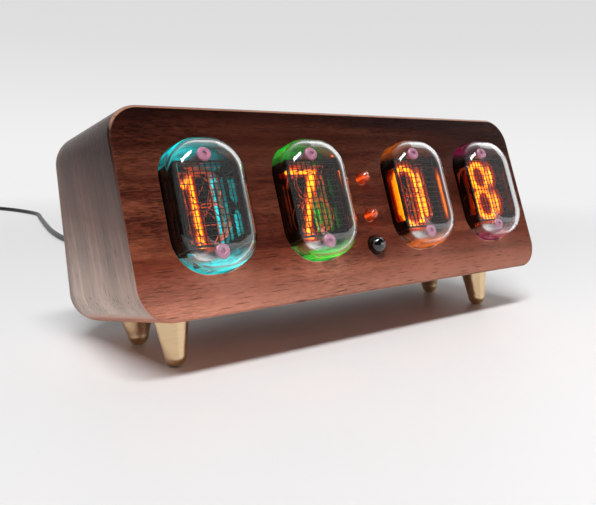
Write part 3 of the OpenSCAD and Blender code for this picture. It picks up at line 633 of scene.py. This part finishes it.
def walnut_case(walnut, bore):
    case = merged_copy("case", "walnut_case")
    front = rim(FACE, 0)
    inverse = FACE.inverted()

    def outer(middle):
        """Whether an edge of the front is on its outline and not round an opening."""
        place = inverse @ (middle * MM) / MM
        return abs(place.x) > 62 or not 5 < place.z < 46

    bevel(case, lambda m, e: front(m, e) and outer(m), FRONT_EDGE, 4)
    bevel(case, lambda m, e: front(m, e) and not outer(m), HOLE_EDGE, 2)
    refill(case, lambda m, f: (inverse.to_3x3() @ f.normal).y < -0.9999
           and abs((inverse @ (m * MM)).y) < 0.01 * MM)
    case.data.materials.clear()
    for material in (walnut, bore):
        case.data.materials.append(material)
    for face in case.data.polygons:
        centre, facing = inverse @ face.center / MM, inverse.to_3x3() @ face.normal
        inside = abs(centre.x) < 61 and 8 < centre.z < 43 and centre.y > 0.4
        face.material_index = int(inside and abs(facing.y) < 0.5)
    return flat_sided(case)


def soft_cover():
    """A copy of the cover whose outer edge is broken; its holes stay sharp."""
    cover = merged_copy("back_cover", "cover")
    on_rim = rim(CASE, CASE_D)
    with editing(cover, "EDGE") as bm:
        rims = [edge for edge in bm.edges if on_rim(None, edge)]
        ring = {max(rims, key=lambda edge: edge.verts[0].co.x)}
        size = 0
        while size < len(ring):
            size = len(ring)
            ends = {v for edge in ring for v in edge.verts}
            ring |= {edge for edge in rims if ends & set(edge.verts)}
        for edge in ring:
            edge.select_set(True)
        bmesh.update_edit_mesh(cover.data)
        bpy.ops.mesh.bevel(offset=0.3 * MM, segments=2, affect="EDGES", clamp_overlap=False)
    return flat_sided(cover)


def softened(node, name, test, radius, segments=2):
    """A copy of a CAD piece whose chosen edges are broken, as a mould or a file leaves them."""
    piece = merged_copy(node, name)
    bevel(piece, test, radius, segments)
    return flat_sided(piece)


def leg(x, y):
    reach = (FRONT_Z - y * math.sin(math.radians(TILT)) - LEG_TIP_D / 2 + 0.25)
    reach /= math.cos(math.radians(TILT))
    top, tip = LEG_TOP_D / 2, LEG_TIP_D / 2
    profile = [(0, 4.8), (1.7, 4.8), (2, 4.5), (2, 0), (top - 0.25, 0), (top - 0.08, -0.08),
               (top, -0.25)]
    profile += [(top + (tip - top) * k / 6, -reach * k / 6) for k in range(1, 7)]
    profile += [(r, z) for r, z in round_bit((0, -reach), tip, 0, -90, 12)[1:]]
    profile[-1] = (0, -reach - tip)
    piece = settle(turned("turned_leg", profile, 64), spot(CASE, x, y, 0))
    with editing(piece):
        bpy.ops.mesh.select_all(action="SELECT")
        bpy.ops.mesh.bisect(plane_co=(0, 0, 0), plane_no=(0, 0, 1), use_fill=True,
                            clear_inner=True)
    return smooth(piece, 30)


# --- tubes -----------------------------------------------------------------------------------
def glass_envelope():
    """Rounded box of blown glass with a flat front, open behind, round the tube's own origin."""
    back = TUBE_LEN - TUBE_OUT
    glass = block("envelope", (-TUBE_W / 2, -TUBE_OUT, -TUBE_H / 2),
                  (TUBE_W / 2, back, TUBE_H / 2))
    bevel(glass, along(1), TUBE_R, 12)
    bevel(glass, lambda m, e: all(v.co.y / MM < 0.01 - TUBE_OUT for v in e.verts), RIM_R, 10)
    with editing(glass) as bm:
        pick(glass, bm.faces, lambda m, f: f.normal.y < -0.999)
        bpy.ops.mesh.inset(thickness=0.15 * MM)
    with editing(glass) as bm:
        pick(glass, bm.faces, lambda m, f: f.normal.y > 0.99)
        bpy.ops.mesh.delete(type="FACE")
    apply_modifier(glass, "SOLIDIFY", thickness=GLASS_T * MM, offset=-1)
    return smooth(glass, 40)


def bow(x, z, r, start, end, steps=24):
    return round_bit((x, z), r, start, end, steps)


def oblong(z, w, h, r):
    """Closed loop with round ends."""
    points = []
    for cx, cz, a in ((w / 2 - r, h / 2 - r, 0), (r - w / 2, h / 2 - r, 90),
                      (r - w / 2, r - h / 2, 180), (w / 2 - r, r - h / 2, 270)):
        points += bow(cx, z + cz, r, a, a + 90, 10)[:-1 if r == w / 2 else None]
    return points, True


def digit_lines(n):
    """A digit's wire as lines of points across and up, with True for a closed one."""
    w, h = DIGIT_W - STROKE, DIGIT_H - STROKE
    r = w / 2
    up, q, small = h / 2 - r, h / 4, (h - 2 * r) / 2
    open_line = {
        1: [[(0, -h / 2), (0, h / 2), (-2.4, h / 2 - 2.4)]],
        2: [bow(0, up, r, 180, -30) + [(-r, -h / 2), (r, -h / 2)]],
        3: [[(-r, h / 2), (r, h / 2), (0, 2 * r - h / 2)], bow(0, -up, r, 90, -170)],
        4: [[(r / 2, -h / 2), (r / 2, h / 2), (-r, -q), (r, -q)], [(0, h / 2), (r / 2, h / 2)],
            [(0, -h / 2), (r / 2, -h / 2)]],
        5: [[(r, h / 2), (-r, h / 2)] + bow(0, -up, r, 143, -170)],
        7: [[(-r, h / 2), (r, h / 2), (-1.4, -h / 2), (0, -h / 2)]],
    }
    if n == 0:
        return [oblong(0, w, h, r)]
    if n == 8:
        return [oblong(-up, w, 2 * r, r), oblong(h / 2 - small, 2 * small, 2 * small, small)]
    if n in (6, 9):
        s = 1 if n == 6 else -1
        return [oblong(-s * up, w, 2 * r, r),
                ([(-s * x, s * z) for x, z in [(r, -up), (r, up)] + bow(0, up, r, 0, 120)], False)]
    return [(line, False) for line in open_line[n]]


def digit_y(n):
    return FIRST_DIGIT_Y + DIGIT_ORDER.index(n) * DIGIT_PITCH + PLATE_T / 2


def ear_lines():
    """The two straight ends by which a digit sits on its rods."""
    return [([(0, s * (DIGIT_H - STROKE) / 2), (0, s * (ROD_Z - 0.6))], False) for s in (1, -1)]


def digit_wire(name, n, lines, radius, sides):
    """Round wire along lines that lie at a digit's place in the stack, as a mesh."""
    y = digit_y(n)
    only(wire_curve(name, [([(x, y, z) for x, z in line], closed) for line, closed in lines],
                    radius, sides))
    bpy.ops.object.convert(target="MESH")
    return smooth(bpy.context.object, 60)


def ceramic_rod():
    """Rod with a collar at each digit and the pink cap in front; Z runs out of the tube."""
    rod, collar, cap = ROD_D / 2, COLLAR_D / 2, CAP_D / 2
    front, hole = -CAP_Y, 0.5
    profile = [(0, -REAR_Y - REAR_T), (rod, -REAR_Y - REAR_T), (rod, -REAR_Y)]
    for k in range(9, -1, -1):
        y = FIRST_DIGIT_Y + k * DIGIT_PITCH
        back = REAR_Y if k == 9 else y + DIGIT_PITCH
        profile += [(collar - 0.12, -back), (collar, -back + 0.1), (collar, -y - PLATE_T - 0.1),
                    (collar - 0.12, -y - PLATE_T), (rod, -y - PLATE_T), (rod, -y)]
    profile += [(collar, -FIRST_DIGIT_Y), (collar, front - 1)]
    profile += round_bit((cap - 0.42, front - 0.5), 0.42, -80, 0, 6)
    profile += round_bit((cap - 0.5, front - 0.5), 0.5, 0, 90, 8)
    profile += round_bit((hole + 0.35, front - 0.35), 0.35, 90, 180, 5)
    profile += [(hole, front - 0.5), (0, front - 0.5)]
    return turned("ceramic_rod", profile, 32)


def tube_light(name, place, code, power):
    """A small lamp that stays inside the glass and isn't seen itself."""
    data = bpy.data.lights.new(name, "POINT")
    data.energy, data.color, data.shadow_soft_size = power, colour(code)[:3], TUBE_LAMP_R * MM
    lamp = placed(name, data)
    lamp.location = place.translation
    lamp.visible_camera = lamp.visible_transmission = lamp.visible_glossy = False


def copied(obj, name):
    piece = obj.copy()
    piece.data = obj.data.copy()
    piece.name = piece.data.name = name
    bpy.context.scene.collection.objects.link(piece)
    return piece


def build_tubes():
    envelope, rod = glass_envelope(), ceramic_rod()
    outward = Matrix.Rotation(math.radians(90), 4, "X")
    wire, ceramic = cathode_metal(), pink_ceramic()
    layers = (("lit_digit", 0.75, glow("lit_neon_core", "#ff8c10", 8.0)),
              ("glow", 1.15, glow("neon_glow", "#ff5a0a", 2.4, 0.42)),
              ("haze", 2.0, glow("neon_haze", "#e62204", 0.9, 0.26)))
    for i, (x, n, (code, strength)) in enumerate(zip(TUBE_X, SHOWN, TUBE_LIGHT)):
        at, tag = spot(FACE, x, 0, TUBE_Z), f"tube_{i + 1}"
        body = settle(copied(envelope, f"{tag}_envelope"), at)
        glass = lit_glass(f"{tag}_glass", code, strength, x)
        belongs(body, "clock", [f"{tag}_glass"], glass)
        rods = [settle(copied(rod, f"{tag}_rod"), spot(at, 0, 0, s * ROD_Z) @ outward)
                for s in (1, -1)]
        belongs(join(f"{tag}_rods", rods), "clock", [f"{tag}_spacers"], ceramic)
        dark = [digit_wire("digit", m, digit_lines(m), DARK_WIRE, 1)
                for m in DIGIT_ORDER if m != n]
        dark += [digit_wire("ears", m, ear_lines(), DARK_WIRE, 1) for m in DIGIT_ORDER]
        stack = settle(join(f"{tag}_digits", dark), at)
        belongs(stack, "clock", [f"{tag}_cathodes"], wire)
        for part, radius, light in layers:
            layer = settle(digit_wire(f"{tag}_{part}", n, digit_lines(n), radius, 4), at)
            belongs(layer, "clock", [f"{tag}_cathodes"], light)
        finish_node(f"{tag}_anode", darkened_nickel(f"{tag}_nickel", code, strength, x))
        finish_node(f"{tag}_base", lit_plastic(f"{tag}_lit_base", code, 0.12 * strength))
        tube_light(f"{tag}_led", spot(at, 0, LED_Y, 0), code, LED_POWER * strength)
        tube_light(f"{tag}_neon", spot(at, 0, digit_y(n) - 1, 0), "#ff5a14", NEON_POWER)
    for spare in (envelope, rod):
        bpy.data.objects.remove(spare)


def finish_node(node, material):
    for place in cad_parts[node].material_slots:
        place.material = material


def in_face(tree):
    """Object coordinates as a place in the face's own frame: X across, Y inwards, Z up."""
    place = add(tree, "TexCoord").outputs["Object"]
    turned = add(tree, "Mapping", {"Vector": place, "Location": FACE.inverted().translation,
                                   "Rotation": (-FACE.to_euler().x, 0, 0)}, vector_type="POINT")
    return turned, add(tree, "SeparateXYZ", {0: turned}).outputs


def deepened(material, front, back, code):
    """Paints shade into a finish: it turns dark from one depth behind the face to another."""
    tree, shader = material.node_tree, shader_of(material)
    clean = shader.inputs["Base Color"].links[0].from_socket
    depth = add(tree, "MapRange", {"Value": in_face(tree)[1]["Y"], "From Min": front * MM,
                                   "From Max": back * MM})
    shaded = add(tree, "Mix", {0: depth, 6: clean, 7: colour(code)}, data_type="RGBA")
    tree.links.new(shaded.outputs[2], shader.inputs["Base Color"])
    return material


# --- finishes --------------------------------------------------------------------------------
# Nickel mesh and sheet: dark grey-brown wire in front of the face, with painted shade that turns
# it nearly black behind. A painted line of the lamp's light glows upright on the rear sheet, past
# the stack.
def darkened_nickel(name, code, strength, x):
    nickel = plain(name, "#181513", 0.36, 1.0, speck=0.7, other="#2c2724", bump=0.01)
    deepened(nickel, -2.6, -2, "#0a0908")
    tree = nickel.node_tree
    place, axes = in_face(tree)
    across = add(tree, "Math", {0: axes["X"], 1: (x + LINE_X) * MM}, operation="SUBTRACT")
    across = add(tree, "Math", {0: across}, operation="ABSOLUTE")
    across = add(tree, "MapRange", {"Value": across, "From Min": 1.8 * MM, "From Max": 0.9 * MM})
    up = add(tree, "Math", {0: axes["Z"], 1: TUBE_Z * MM}, operation="SUBTRACT")
    up = add(tree, "Math", {0: up}, operation="ABSOLUTE")
    up = add(tree, "MapRange", {"Value": up, "From Min": 10 * MM, "From Max": 6 * MM})
    deep = add(tree, "MapRange", {"Value": axes["Y"], "From Min": 5 * MM, "From Max": 6 * MM})
    power = add(tree, "MapRange", {"Value": grain(tree, 1.5, (1, 1, 3), place=place),
                                   "From Min": 0.3, "From Max": 0.6, "To Min": 0.5 * strength,
                                   "To Max": 2.5 * strength})
    for share in (across, up, deep):
        power = add(tree, "Math", {0: share, 1: power}, operation="MULTIPLY")
    return light_up(nickel, code, power)


# Etched steel digits: thin dark wire with a painted orange glow in uneven patches, for the lit
# digit's light.
def cathode_metal():
    steel = plain("etched_steel", "#7a3c28", 0.34, 1.0, speck=0.5, other="#9c5c40")
    tree = steel.node_tree
    power = add(tree, "MapRange", {"Value": grain(tree, 4, detail=2),
                                   "From Min": 0.42, "From Max": 0.62, "To Min": 0.03,
                                   "To Max": 0.75})
    return light_up(steel, "#e8481a", power)


# Glazed alumina: a hard gloss over a dull pink body, with painted shade behind the caps.
def pink_ceramic():
    ceramic = plain("glazed_alumina", "#7c4258", 0.12, 0.0, speck=0.9, spread=0.04,
                    other="#93536c", coat=1.0)
    return deepened(ceramic, -3.2, -1.6, "#2a161c")


def lit_glass(name, code, strength, x):
    """Blown glass with painted shade at its sides; painted light in the lamp's colour glows in
    streaks at its rounded ends.
    """
    material, tree = new_material(name)
    place, axes = in_face(tree)
    back = add(tree, "MapRange", {"Value": axes["Y"], "From Min": -6.5 * MM, "From Max": -1 * MM},
               interpolation_type="SMOOTHSTEP")
    up = add(tree, "Math", {0: axes["Z"], 1: TUBE_Z * MM}, operation="SUBTRACT")
    high = add(tree, "Math", {0: up}, operation="ABSOLUTE")
    high = add(tree, "MapRange", {"Value": high, "From Min": 10.5 * MM,
                                  "From Max": 14.5 * MM}, interpolation_type="SMOOTHSTEP")
    low = add(tree, "MapRange", {"Value": up, "From Min": -12 * MM,
                                 "From Max": 12 * MM, "To Min": 1.1, "To Max": 0.6})
    # Painted light in the lamp's colour, in streaks at the top and bottom ends.
    streak = grain(tree, 2.2, (5, 1.4, 0.8), detail=2, warp=1.2, place=place)
    power = add(tree, "MapRange", {"Value": streak, "From Min": 0.36,
                                   "From Max": 0.6, "To Min": 0.0, "To Max": strength})
    side = add(tree, "Math", {0: axes["X"], 1: x * MM}, operation="SUBTRACT")
    lean = add(tree, "Math", {0: side, 1: up}, operation="MULTIPLY")
    lean = add(tree, "MapRange", {"Value": lean, "From Min": 60 * MM ** 2,
                                  "From Max": -60 * MM ** 2, "To Min": 0.2, "To Max": 1.0})
    for share in (back, high, low, lean):
        power = add(tree, "Math", {0: share, 1: power}, operation="MULTIPLY")
    right = add(tree, "MapRange", {"Value": side, "From Min": 8.2 * MM,
                                   "From Max": 8.8 * MM, "To Max": 0.6})
    # Painted shade at the glass's sides, behind the front.
    side = add(tree, "Math", {0: side}, operation="ABSOLUTE")
    side = add(tree, "MapRange", {"Value": side, "From Min": 8.2 * MM, "From Max": 9.2 * MM})
    inner = add(tree, "MapRange", {"Value": axes["Y"], "From Min": -6 * MM, "From Max": -3 * MM})
    side_shade = add(tree, "Math", {0: side, 1: inner}, operation="MULTIPLY")
    tint = add(tree, "Mix", {0: side_shade, 6: colour("#ffffff"), 7: colour("#8a8480")},
               data_type="RGBA")
    film = add(tree, "MapRange", {"Value": up, "From Min": -11.2 * MM, "From Max": -12 * MM})
    shown = add(tree, "MapRange", {"Value": up, "From Min": -13.6 * MM, "From Max": -13 * MM})
    behind = add(tree, "MapRange", {"Value": axes["Y"], "From Min": -6 * MM,
                                    "From Max": -5 * MM, "To Max": 0.9})
    for share in (shown, behind, streak):
        film = add(tree, "Math", {0: film, 1: share}, operation="MULTIPLY")
    right = add(tree, "Math", {0: right, 1: inner}, operation="MULTIPLY")
    film = add(tree, "Math", {0: film, 1: right}, operation="MAXIMUM")
    shader = add(tree, "BsdfPrincipled", {"Base Color": tint.outputs[2], "Roughness": 0.0,
                                          "Transmission Weight": 1.0, "IOR": 1.5,
                                          "Metallic": film, "Emission Color": colour(code),
                                          "Emission Strength": power})
    finish_glass(tree, shader, "#f4fbff")
    return material


# --- the pieces in order ---------------------------------------------------------------------
def build_cord():
    # Extruded soft PVC: black, with a soft, dull highlight along the cord.
    pvc = plain("soft_pvc", "#0d0d0e", 0.42, speck=0.5, other="#151517", bump=0.01)
    # Moulded PVC: a little greyer and rougher than the cord, with a fine texture.
    moulded = plain("moulded_pvc", "#101011", 0.5, speck=0.35, other="#19191b", bump=0.02)
    # Nickel-plated steel: bright, with slightly hazy reflections.
    steel = plain("nickel_plated_shell", "#b4b4b8", 0.24, 1.0, speck=0.6, other="#c8c8cc")
    # Black nylon strap: matt and uneven, as a coarse cloth is.
    strap = plain("black_nylon_strap", "#111113", 0.6, speck=0.4, other="#1d1d20", bump=0.05)
    cord, length, exit_point, middle, far = power_cord()
    belongs(cord, "clock", ["power_cord", "cord_coil"], pvc)
    to_back = Matrix.Rotation(math.radians(-90), 4, "X")
    plug = settle(cord_plug_piece(), spot(CASE, 0, CASE_D, JACK_Z) @ to_back)
    belongs(plug, "clock", ["cord_plug"], moulded)
    end = Matrix.Translation(Vector((COIL_START[0], far, USB_H / 2)) * MM)
    grip, shell = settle(usb_plug_piece(), end), settle(usb_shell_piece(), end)
    belongs(grip, "clock", ["usb_plug"], moulded)
    belongs(shell, "clock", ["usb_plug"], steel)
    tie = belongs(cord_tie(middle), "clock", material=strap)


def build_case():
    walnut = oiled_walnut()
    # ABS from a spark-eroded mould: matt black with a fine grain.
    abs_plastic = plain("moulded_abs", "#161617", 0.5, speck=0.35, other="#202022", bump=0.03)
    # Brass left satin by the lathe: fine marks round each leg spread its reflections.
    brass = plain("satin_brass", "#d9bb92", 0.24, 1.0, speck=0.35, other="#e3c8a2", bump=0.002,
                  stretch=(9, 9, 0.5), turn=(TILT, 0, 0), spread=0.06)
    # Walnut inside the openings: painted nearly black for the shade in them, without shine.
    bore_shade = plain("bore_shade_walnut", "#0d0908", 0.6, speck=0.6, other="#18110e", bump=0.03)
    belongs(walnut_case(walnut, bore_shade), "clock", ["case"])
    belongs(soft_cover(), "clock", ["back_cover"], abs_plastic)
    for name, x, y in (("front_left_leg", -1, 0), ("front_right_leg", 1, 0),
                       ("back_left_leg", -1, 1), ("back_right_leg", 1, 1)):
        piece = leg(x * LEG_X, LEG_Y[y])
        piece.name = "turned_" + name
        belongs(piece, "clock", [name], brass)
    # Grey ABS: paler than the cover, so that the buttons stand out from it.
    button = plain("grey_button_plastic", "#7b7b80", 0.45, speck=0.4, other="#8b8b90", bump=0.02)
    for word in ("hours", "minutes", "mode"):
        cap = softened(f"{word}_button", f"{word}_push", rim(CASE, CASE_D + BUTTON_OUT), 0.5, 4)
        belongs(cap, f"{word}_button_body", [f"{word}_button"], button)
    for node in ("leg_inserts", "board_standoffs", "board_pillars"):
        finish_node(node, brass)
    # Steel with a black oxide: dark, with a soft metal shine.
    finish_node("cover_screws", plain("blackened_steel", "#1c1c1e", 0.38, 0.9, speck=0.4,
                                      other="#2c2c30"))
    for node in ("power_jack", "switch_bodies", "battery_holder", "link_header",
                 "socket_1", "socket_2", "socket_3", "socket_4"):
        finish_node(node, abs_plastic)


def build_insides():
    # Glass-fibre board under solder mask: an even, half-glossy dark green.
    board = plain("green_solder_mask", "#10301f", 0.32, speck=2.5, other="#184029", coat=0.3)
    # Moulded epoxy: matt black chips with a slight grain.
    epoxy = plain("black_epoxy", "#121214", 0.45, speck=0.4, other="#1b1b1d", bump=0.015)
    # Tinned copper and steel: pale grey metal with soft reflections.
    tin = plain("tinned_copper", "#b0b0b4", 0.3, 1.0, speck=0.5, other="#c6c6c8")
    for node in ("display_board", "control_board"):
        finish_node(node, board)
    for node in ("driver_chips", "controller_chip"):
        finish_node(node, epoxy)
    for node in ("board_screws", "tube_pins", "sensor_leads", "clock_battery"):
        finish_node(node, tin)
    # Pressed ferrite: matt dark grey with a sintered grain.
    finish_node("boost_inductor", plain("ferrite", "#2a2a2d", 0.5, speck=0.3, other="#3a3a3e",
                                        bump=0.03))
    # Shrunk plastic sleeve: dark blue with a low gloss.
    finish_node("boost_capacitor", plain("printed_sleeve", "#1b2746", 0.35, speck=1.2,
                                         other="#22305a"))
    # Moulded white lamp housing: it hardly shows a highlight.
    finish_node("backlight_leds", plain("led_housing", "#d8d8d0", 0.4, speck=0.5,
                                        other="#e4e4dc"))
    # Cast tinted epoxy: nearly black, with one sharp highlight on the dome.
    finish_node("light_sensor", plain("tinted_epoxy_dome", "#030304", 0.06, speck=0.8,
                                      spread=0.03, other="#08080a", coat=1.0))
    bulb = lamp_glass()
    for node in ("upper_lamp_glass", "lower_lamp_glass"):
        finish_node(node, bulb)
    finish_node("lamp_electrodes", glow("lit_lamp_electrode", "#ff6a2a", 1.0, speck=0.9))


# --- the light on the floor and all round ----------------------------------------------------
def area_light(name, place, target, size, power):
    """A rectangular light whose long side is level and along X, facing its target."""
    data = bpy.data.lights.new(name, "AREA")
    data.shape = "RECTANGLE"
    data.size, data.size_y = size
    data.energy = power
    lamp = placed(name, data)
    away = (Vector(place) - Vector(target)).normalized()
    level = (Vector((1, 0, 0)) - away * away.x).normalized()
    lamp.matrix_world = Matrix.Translation(place) @ Matrix(
        (level, away.cross(level), away)).transposed().to_4x4()
    return lamp


def studio():
    """Pale floor that runs out into the backdrop's own colour, with no edge to be seen."""
    world = bpy.data.worlds.new("studio")
    bpy.context.scene.world = world
    world.use_nodes = True
    tree = world.node_tree
    tree.nodes.clear()
    rays = add(tree, "LightPath").outputs
    seen = add(tree, "Math", {0: rays["Is Camera Ray"], 1: rays["Is Transmission Ray"]},
               operation="MAXIMUM")
    way = add(tree, "TexCoord").outputs["Generated"]
    rise = add(tree, "SeparateXYZ", {0: way}).outputs["Z"]
    sky = add(tree, "ValToRGB", {"Fac": rise},
              stops=[(0.0, "#f0f0f0"), (0.13, "#dfdfdf"), (0.4, "#d6d6d6")])
    show = add(tree, "Background", {"Color": sky, "Strength": 1.0})
    behind = add(tree, "VectorMath", {0: way, 1: (0.5, 0.86, 0)}, operation="DOT_PRODUCT")
    gloss = add(tree, "MapRange", {"Value": behind.outputs["Value"], "From Min": 0.0,
                                   "From Max": 0.6, "To Min": 0.04, "To Max": 0.9})
    shine = add(tree, "Background", {"Color": colour("#ffffff"), "Strength": gloss})
    ambient = add(tree, "MapRange", {"Value": behind.outputs["Value"], "From Min": 0.0,
                                     "From Max": 0.8, "To Min": AMBIENT[0], "To Max": AMBIENT[1]})
    light = add(tree, "Background", {"Color": colour("#ffffff"), "Strength": ambient})
    both = add(tree, "MixShader", {0: rays["Is Glossy Ray"], 1: light, 2: shine})
    both = add(tree, "MixShader", {0: seen, 1: both, 2: show})
    add(tree, "OutputWorld", {"Surface": both})

    bpy.ops.mesh.primitive_circle_add(vertices=96, radius=4, fill_type="NGON")
    floor = bpy.context.object
    floor.name = floor.data.name = "studio_floor"
    material, tree = new_material("pale_floor")
    place = add(tree, "TexCoord").outputs["Object"]
    far = add(tree, "VectorMath", {0: place}, operation="LENGTH")
    fade = add(tree, "MapRange", {"Value": far.outputs["Value"], "From Min": 0.14, "From Max": 0.5,
                                  "To Min": 0.0, "To Max": 1.0}, interpolation_type="SMOOTHSTEP")
    rays = add(tree, "LightPath").outputs
    seen = add(tree, "Math", {0: rays["Is Camera Ray"], 1: rays["Is Glossy Ray"]},
               operation="MAXIMUM")
    seen = add(tree, "Math", {0: seen, 1: rays["Is Transmission Ray"]}, operation="MAXIMUM")
    paper = add(tree, "BsdfPrincipled", {"Base Color": colour(FLOOR), "Roughness": 0.5,
                                         "Specular IOR Level": 0.35})
    glowing = add(tree, "Emission", {"Color": colour("#f1f1f1"), "Strength": 1.0})
    glare = add(tree, "Math", {0: fade, 1: seen}, operation="MULTIPLY")
    both = add(tree, "MixShader", {0: glare, 1: paper, 2: glowing})
    finish_material(tree, both)
    floor.data.materials.append(material)


def lights():
    """A long strip over the camera, and two panels that show only as shine: a wide one in
    front on the right, and one overhead on the right."""
    area_light("key_strip", KEY, (0, 0, 0), (1.0, 0.26), 23)
    panel = area_light("front_panel", (1.1, -1.0, 0.25), (1.1, 0, 0.25), (1.8, 0.5), 6)
    over = area_light("overhead_panel", (1.15, 0.1, 0.95), (0, 0, 0), (1.0, 0.9), 8)
    for lamp in (panel, over):
        lamp.visible_camera = lamp.visible_transmission = lamp.visible_diffuse = False


build_cord()
build_case()
build_tubes()
build_insides()
studio()
lights()
bpy.context.scene.view_settings.view_transform = "Standard"
